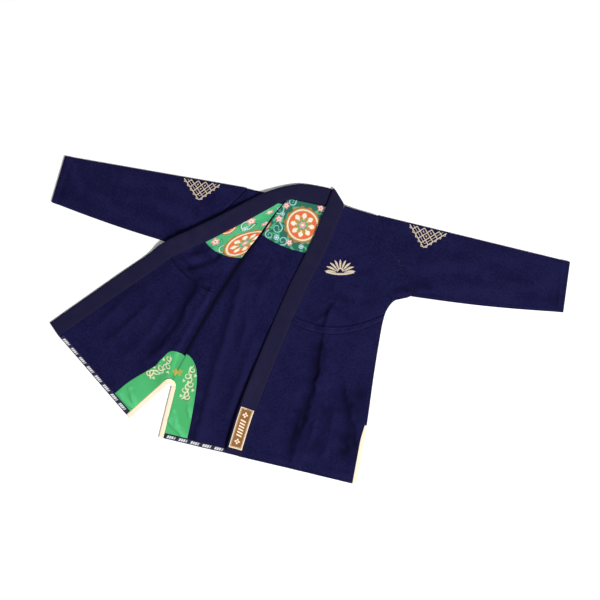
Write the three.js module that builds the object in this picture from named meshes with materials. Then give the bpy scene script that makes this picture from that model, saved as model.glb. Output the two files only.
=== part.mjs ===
// A jiu-jitsu gi jacket laid flat on its back, with its right front thrown open.
// Millimetres. +x is the wearer's left, +y runs from the hem to the neck, +z is up off the surface.
// The jacket is cut in a flat frame of its own (x = 0 on the centre back, y = 0 at the hem), and the
// finished group is moved so that the middle of its footprint is the origin.
import * as THREE from "three";
import { mergeVertices } from "three/addons/utils/BufferGeometryUtils.js";

// Cloth walls and the gaps that part them.
const CLOTH = 2;
const TAPE = 1;
const CUFF_WALL = 3;
const FELL_WALL = 3.4;
const LAPEL = 6;
const LAPEL_EDGE = 3.6;
const LAYER_GAP = 0.35;
const SEAM_GAP = 0.3;
const TUBE_GAP = 1.4;

// Heights up the jacket.
const VENT_TOP = 190;
const CHEST_SIDE = 527;
const CHEST_LAPEL = 457;
const CHEST_DIP = 445;
const FELL_WIDTH = 14;
const UNDERARM = 621;
const SHOULDER = 845;
const NECK = 854;

// Widths.
const LAPEL_WIDTH = 52;
const TAPE_WIDTH = 16;
const FRONT_VENT_INSET = 12;
const LABEL = { from: 22, to: 155 };
const CUFF = { topX: 825, topY: 825, lowX: 838, lowY: 674, hem: 22 };

// Half outline of the body, by the height of a row at the centre: side seam, underarm, armhole.
const SIDE = [
  { row: 0, x: 328, y: 0 },
  { row: 190, x: 321, y: 190 },
  { row: 350, x: 309, y: 350 },
  { row: 470, x: 302, y: 475 },
  { row: 527, x: 301, y: 530 },
  { row: 560, x: 306, y: 565 },
  { row: 590, x: 325, y: 598 },
  { row: 621, x: 370, y: 622 },
  { row: 658, x: 357, y: 661 },
  { row: 697, x: 326, y: 700 },
  { row: 738, x: 291, y: 740 },
  { row: 780, x: 258, y: 781 },
  { row: 845, x: 215, y: 845 },
];

// Free edge of the left lapel, by height.
const LAPEL_FREE = [
  { y: 0, x: -101 },
  { y: 150, x: -88 },
  { y: 360, x: -54 },
  { y: 560, x: -15 },
  { y: 700, x: 21 },
  { y: 854, x: 52 },
];

// The opened right front, by row: its vent edge and then its crease, and where its lapel seam lies.
const OPENED_SKIRT = [
  { row: 0, creaseX: -435, creaseY: 38, seamX: -722, seamY: 247 },
  { row: 95, creaseX: -379, creaseY: 114, seamX: -665, seamY: 308 },
  { row: 190, creaseX: -323, creaseY: 190, seamX: -609, seamY: 367 },
];
const OPENED_BODY = [
  { row: 190, creaseX: -323, creaseY: 190, seamX: -609, seamY: 367 },
  { row: 330, creaseX: -289, creaseY: 318, seamX: -526, seamY: 455 },
  { row: 465, creaseX: -247, creaseY: 445, seamX: -444, seamY: 539 },
  { row: 527, creaseX: -230, creaseY: 497, seamX: -408, seamY: 578 },
  { row: 621, creaseX: -179, creaseY: 626, seamX: -309, seamY: 652 },
  { row: 697, creaseX: -140, creaseY: 710, seamX: -229, seamY: 714 },
  { row: 780, creaseX: -109, creaseY: 784, seamX: -146, seamY: 783 },
  { row: 845, creaseX: -81, creaseY: 836, seamX: -86, seamY: 836 },
];

// The collar behind the neck: its seam edge, its free edge, and how much of the rise at its ends
// each section keeps. The last section is the fold over the left shoulder.
const COLLAR = [
  { seamX: -60, seamY: 845.6, freeX: -70, freeY: 889, rise: 0.7 },
  { seamX: -25, seamY: 846, freeX: -29, freeY: 896, rise: 0.15 },
  { seamX: 10, seamY: 846, freeX: 9, freeY: 898, rise: 0 },
  { seamX: 45, seamY: 847, freeX: 34, freeY: 898, rise: 0 },
  { seamX: 74, seamY: 850, freeX: 48, freeY: 898, rise: 0 },
  { seamX: 97, seamY: 855, freeX: 57, freeY: 897, rise: 0 },
];
const COLLAR_FOLD_TOP = 12;

// Width of the vent reinforcement beside the vent, by its height on the row.
const VENT_PATCH = [
  { row: 18, width: 93 },
  { row: 95, width: 90 },
  { row: 190, width: 80 },
  { row: 235, width: 68 },
  { row: 262, width: 50 },
  { row: 278, width: 30 },
];

// Soft ridges that stand in the laid cloth: from, to, height, and reach to the left and right.
const LEFT_FRONT_RIDGES = [
  { x0: 138, y0: 540, x1: 142, y1: 250, height: 7, left: 14, right: 60 },
  { x0: 142, y0: 270, x1: 112, y1: -20, height: 9, left: 18, right: 60 },
  { x0: 232, y0: 320, x1: 316, y1: 110, height: 6, left: 16, right: 26 },
];
const OPENED_RIDGES = [
  { x0: -300, y0: 560, x1: -330, y1: 260, height: 6, left: 34, right: 22 },
  { x0: -470, y0: 400, x1: -560, y1: 190, height: 3, left: 50, right: 60 },
];
const CREASE_RADIUS = 4;
const CREASE_RADIUS_TOP = 1.5;
const CREASE_ROLL = 32;
const FLAP_SAG = 17;
const LAPEL_LIFT = 18;

// Spacing of the cloth grids, and how the cloth settles over what lies below it.
const GRID = 34;
const SETTLE = { reach: 52, slope: 0.22 };
const CLOSE = { reach: 14, slope: 1 };

const { lerp, clamp, smoothstep, degToRad } = THREE.MathUtils;
const up = new THREE.Vector3(0, 0, 1);
const down = new THREE.Vector3(0, 0, -1);
const steps = (count) => Array.from({ length: count + 1 }, (_, i) => i / count);
const bell = (distance, reach) => Math.exp(-((distance / reach) ** 2));

// The keys with others filled in between, none further apart than the spacing.
function filled(keys, spacing = GRID) {
  const all = [keys[0]];
  for (let i = 1; i < keys.length; i++) {
    const count = Math.ceil((keys[i] - keys[i - 1]) / spacing);
    for (let n = 1; n <= count; n++) all.push(lerp(keys[i - 1], keys[i], n / count));
  }
  return all;
}

// Smooth value of a table's column where its key column has the given value.
function read(table, key, at, column) {
  const last = table.length - 1;
  let i = 0;
  while (i < last - 1 && at > table[i + 1][key]) i++;
  const before = table[Math.max(i - 1, 0)];
  const [a, b] = [table[i], table[i + 1]];
  const after = table[Math.min(i + 2, last)];
  const span = b[key] - a[key];
  const slope = (p, q) => ((q[column] - p[column]) / (q[key] - p[key])) * span;
  const [m0, m1] = [slope(before, b), slope(a, after)];
  const rise = b[column] - a[column];
  const t = (at - a[key]) / span;
  return a[column] + t * (m0 + t * (3 * rise - 2 * m0 - m1 + t * (m0 + m1 - 2 * rise)));
}

// A sheet of cloth is a list of points in the middle of its wall, each with the way that its outer
// face looks and the thickness of the wall there, and triangles that join them.
const point = (x, y, z, face = up, wall = CLOTH) => ({ at: new THREE.Vector3(x, y, z), face, wall });

// Joins grids of points, each a list of rows, into one sheet. Points that fall together are one.
function sheetOf(...grids) {
  const points = [];
  const known = new Map();
  const indexOf = (p) => {
    const key = [p.at.x, p.at.y, p.at.z].map((v) => Math.round(v * 50)).join();
    if (!known.has(key)) known.set(key, points.push(p) - 1);
    return known.get(key);
  };
  const triangles = [];
  for (const grid of grids) {
    const index = grid.map((row) => row.map(indexOf));
    for (let j = 0; j + 1 < index.length; j++) {
      for (let i = 0; i + 1 < index[j].length; i++) {
        const [a, b, c, d] = [index[j][i], index[j][i + 1], index[j + 1][i + 1], index[j + 1][i]];
        for (const t of [[a, b, c], [a, c, d]]) if (new Set(t).size === 3) triangles.push(t);
      }
    }
  }
  return { points, triangles };
}

// The closed wall of a sheet: its outer face, its inner face, and a side along every open edge.
function wallOf(sheet) {
  const corner = (i, side) => {
    const p = sheet.points[i];
    return p.at.clone().addScaledVector(p.face, (side * p.wall) / 2);
  };
  const faces = [];
  const open = new Map();
  for (const [a, b, c] of sheet.triangles) {
    faces.push([corner(a, 1), corner(b, 1), corner(c, 1)]);
    faces.push([corner(a, -1), corner(c, -1), corner(b, -1)]);
    for (const [p, q] of [[a, b], [b, c], [c, a]]) {
      if (!open.delete(`${q},${p}`)) open.set(`${p},${q}`, [p, q]);
    }
  }
  for (const [p, q] of open.values()) {
    faces.push([corner(p, 1), corner(p, -1), corner(q, -1)]);
    faces.push([corner(p, 1), corner(q, -1), corner(q, 1)]);
  }
  const loose = new THREE.BufferGeometry().setFromPoints(faces.flat());
  const geometry = mergeVertices(loose, 1e-3);
  geometry.computeVertexNormals();
  return geometry;
}

// A map of the surface, in square cells, of how high the laid cloth reaches.
class Pile {
  static cell = 4;
  static left = -900;
  static low = -60;
  static across = 450;
  static along = 260;

  constructor(sheets, { reach, slope }) {
    this.top = new Float32Array(Pile.across * Pile.along);
    for (const sheet of sheets) this.add(sheet);
    this.spread(Math.ceil(reach / Pile.cell), 1, 0);
    this.spread(Math.ceil(reach / Pile.cell), 0, 1);
    this.settle(slope * Pile.cell);
  }

  add({ points, triangles }) {
    for (const [a, b, c] of triangles.map((t) => t.map((i) => points[i]))) {
      const longest = Math.max(a.at.distanceTo(b.at), b.at.distanceTo(c.at), c.at.distanceTo(a.at));
      const cuts = Math.ceil((1.5 * longest) / Pile.cell) + 1;
      for (let i = 0; i <= cuts; i++) {
        for (let j = 0; j <= cuts - i; j++) {
          const mix = (get) => (i * get(a) + j * get(b) + (cuts - i - j) * get(c)) / cuts;
          const x = Math.round((mix((p) => p.at.x) - Pile.left) / Pile.cell);
          const y = Math.round((mix((p) => p.at.y) - Pile.low) / Pile.cell);
          const z = mix((p) => p.at.z + p.wall / 2);
          this.top[y * Pile.across + x] = Math.max(this.top[y * Pile.across + x], z);
        }
      }
    }
  }

  // Every height holds for a number of cells around it.
  spread(cells, dx, dy) {
    const from = this.top.slice();
    for (let y = 0; y < Pile.along; y++) {
      for (let x = 0; x < Pile.across; x++) {
        let most = 0;
        for (let n = -cells; n <= cells; n++) {
          const column = clamp(x + n * dx, 0, Pile.across - 1);
          const row = clamp(y + n * dy, 0, Pile.along - 1);
          most = Math.max(most, from[row * Pile.across + column]);
        }
        this.top[y * Pile.across + x] = most;
      }
    }
  }

  // Past that, the cloth comes down no steeper than a fall for each cell.
  settle(fall) {
    const { across, along } = Pile;
    for (const way of [1, -1]) {
      for (let n = 0; n < across * along; n++) {
        const k = way > 0 ? n : across * along - 1 - n;
        const [x, y] = [k % across, Math.floor(k / across)];
        for (const [dx, dy] of [[1, 0], [0, 1], [1, 1], [-1, 1]]) {
          const [nx, ny] = [x - way * dx, y - way * dy];
          if (nx < 0 || ny < 0 || nx >= across || ny >= along) continue;
          this.top[k] = Math.max(this.top[k], this.top[ny * across + nx] - fall * Math.hypot(dx, dy));
        }
      }
    }
  }

  // Height of the middle of a wall that rests here.
  rest(x, y, wall = CLOTH) {
    const u = (x - Pile.left) / Pile.cell;
    const v = (y - Pile.low) / Pile.cell;
    const [i, j] = [Math.floor(u), Math.floor(v)];
    const at = (di, dj) => this.top[(j + dj) * Pile.across + i + di];
    const height = lerp(lerp(at(0, 0), at(1, 0), u - i), lerp(at(0, 1), at(1, 1), u - i), v - j);
    return height + wall / 2 + Math.min(LAYER_GAP, height);
  }
}

// Sum of the soft ridges over a place.
function ridgeHeight(ridges, x, y) {
  let total = 0;
  for (const r of ridges) {
    const length = Math.hypot(r.x1 - r.x0, r.y1 - r.y0);
    const [dx, dy] = [(r.x1 - r.x0) / length, (r.y1 - r.y0) / length];
    const along = ((x - r.x0) * dx + (y - r.y0) * dy) / length;
    const toRight = (x - r.x0) * -dy + (y - r.y0) * dx;
    const ends = smoothstep(along, -0.12, 0.2) * (1 - smoothstep(along, 0.8, 1.12));
    total += r.height * ends * bell(toRight, toRight < 0 ? r.left : r.right);
  }
  return total;
}

// The rows of the panels. What meets at a seam shares its rows.
const LOWER_ROWS = filled([0, VENT_TOP, CHEST_SIDE]);
const ARMHOLE_ROWS = filled([UNDERARM, 658, 697, 738, 780, SHOULDER]);
const UPPER_ROWS = filled([CHEST_SIDE, CHEST_SIDE + FELL_WIDTH, CHEST_SIDE + FELL_WIDTH + 3, UNDERARM]).concat(
  ARMHOLE_ROWS.slice(1),
);
const BACK_ROWS = filled([0, VENT_TOP, UNDERARM], 75).concat(ARMHOLE_ROWS.slice(1));

const side = (row) => ({ x: read(SIDE, "row", row, "x"), y: read(SIDE, "row", row, "y") });

function backPanel() {
  const rows = BACK_ROWS.map((row) => {
    const edge = side(row);
    return steps(14).map((s) => {
      const t = 2 * s - 1;
      return point(t * edge.x, lerp(row, edge.y, t * t), CLOTH / 2);
    });
  });
  return sheetOf(rows);
}

// A thin piece that lies on a pile: rows of places, each from -x to +x.
const laidOn = (pile, rows, wall = TAPE) =>
  sheetOf(rows.map((row) => row.map((p) => point(p.x, p.y, pile.rest(p.x, p.y, wall), up, wall))));

// The yoke lining hangs from the back neck, and its lower edge is a shallow bowl.
function backLining(pile) {
  const half = 205;
  const rows = steps(6).map((v) =>
    steps(10).map((s) => {
      const x = lerp(-half, half, s);
      return { x, y: lerp(684 + 62 * (x / half) ** 2, SHOULDER - 4, v) };
    }),
  );
  return laidOn(pile, rows);
}

// Tape along a vent edge of the back, on either side of it.
function backVentTape(pile, hand) {
  const rows = filled([0, VENT_TOP], 50).map((row) => {
    const { x, y } = side(row);
    const edges = [{ x: hand * x, y }, { x: hand * (x - TAPE_WIDTH), y }];
    return hand < 0 ? edges : edges.reverse();
  });
  return laidOn(pile, rows);
}

function backHemTape(pile) {
  const end = side(0).x - TAPE_WIDTH - SEAM_GAP - 0.5;
  return laidOn(pile, [0, TAPE_WIDTH].map((y) => steps(12).map((s) => ({ x: lerp(-end, end, s), y }))));
}

const PATCH_ROWS = VENT_PATCH.map((entry) => entry.row);
const PATCH_INNER = TAPE_WIDTH + SEAM_GAP;

function backVentPatch(pile) {
  const rows = filled(PATCH_ROWS, 40).map((row) => {
    const width = read(VENT_PATCH, "row", row, "width");
    return steps(3).map((s) => ({ x: -side(row).x + lerp(PATCH_INNER, width, s), y: row }));
  });
  return laidOn(pile, rows);
}

// A sleeve is a flat tube: its lower wall on the surface, a fold along the shoulder, the upper wall
// back over it, and a turn at the underarm seam. The turned cuff hem is thicker.
function sleeve(handed) {
  const bends = [-60, 0, 60].map(degToRad);
  const ring = ({ share, wall }) => {
    const low = wall / 2;
    const radius = (wall + TUBE_GAP) / 2;
    const across = ARMHOLE_ROWS.map((row) => {
      const from = side(row);
      const high = (row - UNDERARM) / (SHOULDER - UNDERARM);
      const bow = 6 * Math.sin(Math.PI * share) * (1 - high);
      return {
        x: lerp(from.x + SEAM_GAP, lerp(CUFF.lowX, CUFF.topX, high), share),
        y: lerp(from.y, lerp(CUFF.lowY, CUFF.topY, high), share) - bow,
      };
    });
    const flat = (list, z, face) => list.map((p) => point(handed * p.x, p.y, z, face, wall));
    const turn = (p, way) =>
      bends.map((angle) => {
        const face = new THREE.Vector3(0, way * Math.cos(angle), way * Math.sin(angle));
        return point(handed * p.x, p.y + face.y * radius, low + radius + face.z * radius, face, wall);
      });
    const lower = flat(across, low, down);
    const upper = flat([...across].reverse(), low + 2 * radius, up);
    return [...lower, ...turn(across.at(-1), 1), ...upper, ...turn(across[0], -1), lower[0]];
  };
  const length = CUFF.topX - side(SHOULDER).x;
  const hem = 1 - CUFF.hem / length;
  const rings = steps(11).map((s) => ({ share: s * hem, wall: CLOTH }));
  rings.push({ share: hem + 3 / length, wall: CUFF_WALL }, { share: 1, wall: CUFF_WALL });
  const grid = rings.map(ring);
  return sheetOf(handed > 0 ? grid : grid.reverse());
}

// The seam between the left front and its lapel, and the lapel's section there.
function lapelSection(y) {
  const free = (at) => read(LAPEL_FREE, "y", at, "x");
  const lean = (free(y + 5) - free(y - 5)) / 10;
  const slant = Math.hypot(1, lean);
  const seam = { x: free(y) + LAPEL_WIDTH * slant, y };
  return { seam, free: { x: seam.x - LAPEL_WIDTH / slant, y: y + (LAPEL_WIDTH * lean) / slant } };
}

function seamHeight(row) {
  if (row <= CHEST_SIDE) return (row / CHEST_SIDE) * CHEST_LAPEL;
  return lerp(CHEST_LAPEL, NECK, (row - CHEST_SIDE) / (SHOULDER - CHEST_SIDE));
}

// How far the left lapel is lifted where it comes down from the fold at the shoulder.
const shoulderRise = (y) => 4.8 * smoothstep(y, 700, NECK);

// A place on the left front: u runs from its side to the lapel seam. Its rows sag to the wide curve
// of the chest seam.
function frontPlace(row, u) {
  const edge = side(row);
  const inset = FRONT_VENT_INSET * (1 - smoothstep(row, VENT_TOP - 60, VENT_TOP + 60));
  const y = seamHeight(row);
  const chord = lerp(CHEST_SIDE + 3, CHEST_LAPEL, u);
  const curve = u < 0.7 ? CHEST_DIP + 85 * (1 - u / 0.7) ** 2 : CHEST_DIP + 12 * (u / 0.3 - 7 / 3) ** 2;
  const below = row / CHEST_SIDE;
  const above = ((SHOULDER - row) / (SHOULDER - CHEST_SIDE)) ** 2;
  return {
    x: lerp(edge.x - inset, lapelSection(y).seam.x + SEAM_GAP, u),
    y: lerp(edge.y, y, u) + (curve - chord) * (row <= CHEST_SIDE ? below : above),
    seamX: lapelSection(y).seam.x,
  };
}

const fellWall = (row) => (row >= CHEST_SIDE && row <= CHEST_SIDE + FELL_WIDTH ? FELL_WALL : CLOTH);

function leftFront(pile, rowHeights, ends) {
  const rows = rowHeights.map((row, j) => {
    const shift = j === 0 ? ends.low : j === rowHeights.length - 1 ? ends.high : 0;
    const wall = ends.low > 0 ? fellWall(row) : CLOTH;
    return steps(12).map((s) => {
      const p = frontPlace(row, 1 - s);
      const beside = bell(p.x - p.seamX, 26);
      const ridges = ridgeHeight(LEFT_FRONT_RIDGES, p.x, p.y) * (1 - beside);
      const z = pile.rest(p.x, p.y, wall) + ridges + (LAPEL / 2 - 1 + shoulderRise(p.y)) * beside;
      return point(p.x, p.y + shift, z, up, wall);
    });
  });
  return sheetOf(rows);
}

// Places on the right front. Its crease lies at share 0 and its lapel seam at share 1.
function openedPlace(row, share) {
  const table = row < VENT_TOP ? OPENED_SKIRT : OPENED_BODY;
  const crease = { x: read(table, "row", row, "creaseX"), y: read(table, "row", row, "creaseY") };
  const seam = { x: read(table, "row", row, "seamX"), y: read(table, "row", row, "seamY") };
  const rows = smoothstep(row, VENT_TOP, CHEST_SIDE - 60) * (1 - smoothstep(row, UNDERARM, SHOULDER));
  const sag = 4 * share * (1 - share) * FLAP_SAG * rows;
  return {
    x: lerp(crease.x, seam.x, share) - 0.41 * sag,
    y: lerp(crease.y, seam.y, share) - 0.91 * sag,
    fromCrease: Math.hypot(crease.x - seam.x, crease.y - seam.y) * share,
    fromSeam: Math.hypot(crease.x - seam.x, crease.y - seam.y) * (1 - share),
  };
}

// The strip that stays on the back, from the side seam to the crease.
function frontBase(pile, rowHeights, shifts) {
  return rowHeights.map((row, j) => {
    const from = side(row);
    const to = openedPlace(row, 0);
    const sag = row < CHEST_SIDE ? (row - VENT_TOP) / (CHEST_SIDE - VENT_TOP) : (SHOULDER - row) / 318;
    return steps(4).map((s) => {
      const y = lerp(from.y, to.y, s) - 8 * sag * Math.sin(Math.PI * s) + shifts[j];
      const x = lerp(-from.x, to.x, s);
      return point(x, y, pile.rest(x, y));
    });
  });
}

// The stiff lapel stands clear of the sleeve between the neck and the underarm.
const lapelLift = (row) => LAPEL_LIFT * Math.sin(Math.PI * clamp((row - 430) / 415, 0, 1)) ** 1.2;

// The part that is turned over, from the crease to the lapel seam, with its wrong side up.
function frontFlap(pile, rowHeights, shifts, baseHeights) {
  return rowHeights.map((row, j) =>
    steps(10).map((share) => {
      const p = openedPlace(row, share);
      const beside = bell(p.fromSeam, 26) * (1 - bell(p.fromCrease, 16));
      const ridges = ridgeHeight(OPENED_RIDGES, p.x, p.y) * (1 - beside);
      const lift = lapelLift(row) * share ** 1.6;
      const z = pile.rest(p.x, p.y) + lift + ridges + (LAPEL / 2 - 1) * beside;
      const radius = lerp(CREASE_RADIUS, CREASE_RADIUS_TOP, smoothstep(row, 700, SHOULDER));
      const rolled = Math.max(z, (baseHeights[j] ?? 0) + 2 * radius);
      const height = baseHeights[j] === undefined ? z : lerp(z, rolled, bell(p.fromCrease, CREASE_ROLL));
      return point(p.x, p.y + shifts[j], height, down);
    }),
  );
}

// The turn of the cloth round the crease, from the strip below to the flap above.
function creaseTurn(low, high) {
  const radius = (high.at.z - low.at.z) / 2;
  const out = new THREE.Vector3(0.935, -0.354, 0);
  const turn = [-60, -20, 20, 60].map(degToRad).map((angle) => {
    const face = out.clone().multiplyScalar(-Math.cos(angle)).addScaledVector(down, Math.sin(angle));
    const at = low.at.clone().addScaledVector(up, radius).addScaledVector(face, -radius);
    return { at, face, wall: CLOTH };
  });
  return [low, ...turn, high];
}

function rightFront(backPile, lowerSheets, rowHeights, ends) {
  const shifts = rowHeights.map((_, j) => (j === 0 ? ends.low : j === rowHeights.length - 1 ? ends.high : 0));
  const creased = rowHeights.findIndex((row) => row >= VENT_TOP);
  const base = frontBase(backPile, rowHeights.slice(creased), shifts.slice(creased));
  const pile = new Pile([...lowerSheets, sheetOf(base)], SETTLE);
  const baseHeights = rowHeights.map((_, j) => base[j - creased]?.at(-1).at.z);
  const flap = frontFlap(pile, rowHeights, shifts, baseHeights);
  const turn = base.map((row, j) => creaseTurn(row.at(-1), flap[j + creased][0]));
  return { base: sheetOf(base), flap: sheetOf(flap), whole: sheetOf(base, turn, flap), rows: flap };
}

// The lapel band: sections from its free edge to its seam, thinner at both edges.
const BAND_ACROSS = [0, 0.08, 0.5, 0.92, 1];
const bandSection = (free, seam, height, face) =>
  BAND_ACROSS.map((s) => {
    const [x, y] = [lerp(free.x, seam.x, s), lerp(free.y, seam.y, s)];
    return point(x, y, height(x, y, s), face, s === 0 || s === 1 ? LAPEL_EDGE : LAPEL);
  });

function lapelLeft(pile, rowHeights) {
  const height = (x, y) => pile.rest(x, y, LAPEL) + shoulderRise(y);
  return rowHeights.map((row) => {
    const { seam, free } = lapelSection(seamHeight(row));
    return bandSection(free, seam, height, up);
  });
}

// The lapel of the opened front follows its laid seam, a seam gap further out.
function lapelRight(pile, rowHeights) {
  return rowHeights.map((row) => {
    const [a, b] = [openedPlace(Math.max(row - 8, 0), 1), openedPlace(Math.min(row + 8, SHOULDER), 1)];
    const length = Math.hypot(b.x - a.x, b.y - a.y);
    const out = { x: -(b.y - a.y) / length, y: (b.x - a.x) / length };
    const { x, y } = openedPlace(row, 1);
    const width = LAPEL_WIDTH - 9 * smoothstep(row, 790, SHOULDER);
    const seam = { x: x + out.x * SEAM_GAP, y: y + out.y * SEAM_GAP };
    const free = { x: seam.x + out.x * width, y: seam.y + out.y * width };
    const height = (px, py, s) => pile.rest(px, py, LAPEL) + lapelLift(row) * (1.15 - 0.15 * s);
    return bandSection(free, seam, height, up);
  });
}

// The collar runs from the end of the right lapel behind the neck, folds over the left shoulder and
// comes down on to the left lapel.
function collarNeck(start, end) {
  const flat = LAPEL / 2;
  const first = start.map((p) => point(p.at.x + SEAM_GAP, p.at.y + 0.1, p.at.z, up, p.wall));
  const rise = start[2].at.z - flat;
  const lower = COLLAR.map((c) =>
    bandSection({ x: c.freeX, y: c.freeY }, { x: c.seamX, y: c.seamY }, () => flat + rise * c.rise, up),
  );
  const fold = lower.at(-1);
  const along = fold.at(-1).at.clone().sub(fold[0].at).normalize();
  const out = new THREE.Vector3(-along.y, along.x, 0);
  const radius = (COLLAR_FOLD_TOP - flat) / 2;
  const turn = [-60, -20, 20, 60].map(degToRad).map((angle) =>
    fold.map((p) => {
      const face = out.clone().multiplyScalar(-Math.cos(angle)).addScaledVector(down, Math.sin(angle));
      const at = p.at.clone().addScaledVector(up, radius).addScaledVector(face, -radius);
      return { at, face, wall: p.wall };
    }),
  );
  const over = fold.map((p) => point(p.at.x, p.at.y, COLLAR_FOLD_TOP, down, p.wall));
  const last = end.map((p) => point(p.at.x + 0.05, p.at.y + SEAM_GAP, p.at.z, down, p.wall));
  return sheetOf([first, ...lower, ...turn, over, last]);
}

// A thin piece on a sheet's own rows, moved out from them.
const overRows = (rows, out, wall = TAPE) =>
  sheetOf(rows.map((row) => row.map((p) => point(p.at.x, p.at.y, p.at.z + p.wall / 2 + out, up, wall))));

// Places on the opened front that lie a number of millimetres in from its vent edge or crease.
function openedAt(row, distance) {
  const whole = openedPlace(row, 1).fromCrease;
  return openedPlace(row, distance / whole);
}

// Pieces are laid in the order in which the cloth lies.
const back = backPanel();
const onBack = new Pile([back], CLOSE);
const sheets = {
  back_panel: back,
  yoke_lining_back: backLining(onBack),
  hem_tape_back: backHemTape(onBack),
  vent_tape_back_left: backVentTape(onBack, 1),
  vent_tape_back_right: backVentTape(onBack, -1),
  vent_patch_back: backVentPatch(onBack),
  sleeve_left: sleeve(1),
  sleeve_right: sleeve(-1),
};

const lining = sheets.yoke_lining_back;
const onTapes = new Pile([back, lining, sheets.hem_tape_back, sheets.vent_tape_back_left], SETTLE);
sheets.front_left_lower = leftFront(onTapes, LOWER_ROWS, { low: 0, high: -SEAM_GAP / 2 });
sheets.front_left_upper = leftFront(onTapes, UPPER_ROWS, { low: SEAM_GAP / 2, high: 0 });
const frontRows = [...LOWER_ROWS, ...UPPER_ROWS.slice(1)];
const leftBand = lapelLeft(onTapes, frontRows);
sheets.lapel_left = sheetOf(leftBand);
const labelRows = filled([LABEL.from, LABEL.to]).map((y) => (y / CHEST_LAPEL) * CHEST_SIDE);
const labelBand = lapelLeft(onTapes, labelRows).map((row) => row.slice(1, -1));
sheets.lapel_label = overRows(labelBand, 0.9);

const belowBase = new Pile([back, lining, sheets.vent_patch_back, sheets.vent_tape_back_right], SETTLE);
const belowFlap = [back, lining, sheets.sleeve_right, sheets.vent_patch_back];
const baseRows = frontRows.filter((row) => row >= VENT_TOP);
const wholeBase = sheetOf(frontBase(belowBase, baseRows, baseRows.map(() => 0)));
const lower = rightFront(belowBase, [...belowFlap, wholeBase], LOWER_ROWS, { low: 0, high: -SEAM_GAP / 2 });
const upper = rightFront(belowBase, [...belowFlap, wholeBase], UPPER_ROWS, { low: SEAM_GAP / 2, high: 0 });
sheets.front_right_lower = lower.whole;
sheets.front_right_upper = upper.whole;
const rightBand = lapelRight(new Pile([...belowFlap, wholeBase], SETTLE), frontRows);
sheets.lapel_right = sheetOf(rightBand);
sheets.collar_neck = collarNeck(rightBand.at(-1), leftBand.at(-1));

// What is sewn to the wrong side of the opened front.
const onFlap = new Pile([lower.flap, upper.flap], CLOSE);
const yokeRows = filled([UNDERARM, SHOULDER - 20]).map((row) =>
  [0.98, 0.86, 0.7, 0.5, 0.3, 0.14, 0.02].map((share) => openedPlace(row, share)),
);
sheets.yoke_lining_right = laidOn(onFlap, yokeRows);
const tapeRows = filled([0, VENT_TOP], 30);
sheets.vent_tape_front_right = laidOn(onFlap, tapeRows.map((row) => [TAPE_WIDTH, 0].map((d) => openedAt(row, d))));
const patchPlaces = filled(PATCH_ROWS, 25).map((row) => {
  const width = read(VENT_PATCH, "row", row, "width");
  return steps(4).map((s) => openedAt(row, lerp(width, PATCH_INNER, s)));
});
sheets.vent_patch_right = laidOn(onFlap, patchPlaces);
const hemPlaces = [0, TAPE_WIDTH].map((row) =>
  steps(12).map((s) => openedPlace(row, lerp(0.985, (PATCH_INNER + 1) / 355, s))),
);
sheets.hem_tape_right = laidOn(onFlap, hemPlaces);

// Finishes.
const finish = (color, roughness) => new THREE.MeshStandardMaterial({ color, roughness, metalness: 0 });
const pearlWeave = finish(0x1b1a45, 0.85);
const lapelCloth = finish(0x23203f, 0.8);
const yokePrint = finish(0x2f9a62, 0.75);
const ventPatch = finish(0x3fb257, 0.75);
const ventTape = finish(0xeedcb4, 0.8);
const hemTape = finish(0x14153a, 0.75);
const labelCloth = finish(0x8a5524, 0.7);

function finishOf(name) {
  if (name === "lapel_label") return labelCloth;
  if (name.startsWith("lapel") || name.startsWith("collar")) return lapelCloth;
  if (name.startsWith("yoke")) return yokePrint;
  if (name.startsWith("vent_patch")) return ventPatch;
  if (name.startsWith("vent_tape")) return ventTape;
  if (name.startsWith("hem_tape")) return hemTape;
  return pearlWeave;
}

const jacket = new THREE.Group();
for (const [name, sheet] of Object.entries(sheets)) {
  const mesh = new THREE.Mesh(wallOf(sheet), finishOf(name));
  mesh.name = name;
  jacket.add(mesh);
}

const box = new THREE.Box3().setFromObject(jacket);
const middle = box.getCenter(new THREE.Vector3());
jacket.position.set(-middle.x, -middle.y, -box.min.z);

export default jacket;
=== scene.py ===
# %% [markdown]
# # A jiu-jitsu gi jacket, laid flat and opened
#
# The jacket is a thick woven cotton coat. It lies on its back with the left front closed, and the
# right front thrown open to the side, so its printed yoke and green vent facings show.
#
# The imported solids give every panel's place and size. Each panel is made again here as a fine
# sheet from the same few measures, with its creases, and it replaces its solid.

# %% The frame and the units
import math

import bpy
import numpy as np
from mathutils import Matrix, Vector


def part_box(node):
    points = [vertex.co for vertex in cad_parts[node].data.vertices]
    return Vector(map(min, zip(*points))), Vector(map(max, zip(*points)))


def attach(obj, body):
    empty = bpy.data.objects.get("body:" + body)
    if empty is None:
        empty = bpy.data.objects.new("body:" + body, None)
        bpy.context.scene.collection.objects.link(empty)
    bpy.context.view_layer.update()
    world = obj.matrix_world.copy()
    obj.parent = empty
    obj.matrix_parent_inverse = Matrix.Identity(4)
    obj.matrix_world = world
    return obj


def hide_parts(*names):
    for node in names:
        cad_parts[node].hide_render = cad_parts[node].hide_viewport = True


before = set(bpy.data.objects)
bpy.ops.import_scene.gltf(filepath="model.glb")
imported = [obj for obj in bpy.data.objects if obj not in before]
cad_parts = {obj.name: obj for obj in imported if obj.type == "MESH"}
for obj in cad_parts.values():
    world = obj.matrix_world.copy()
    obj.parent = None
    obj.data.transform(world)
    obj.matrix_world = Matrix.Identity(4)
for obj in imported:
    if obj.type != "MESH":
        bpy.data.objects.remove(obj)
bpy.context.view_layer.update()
MM = 0.001
HEM_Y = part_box("back_panel")[0].y
print("solids:", len(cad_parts), "hem at y", round(HEM_Y, 4))


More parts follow.
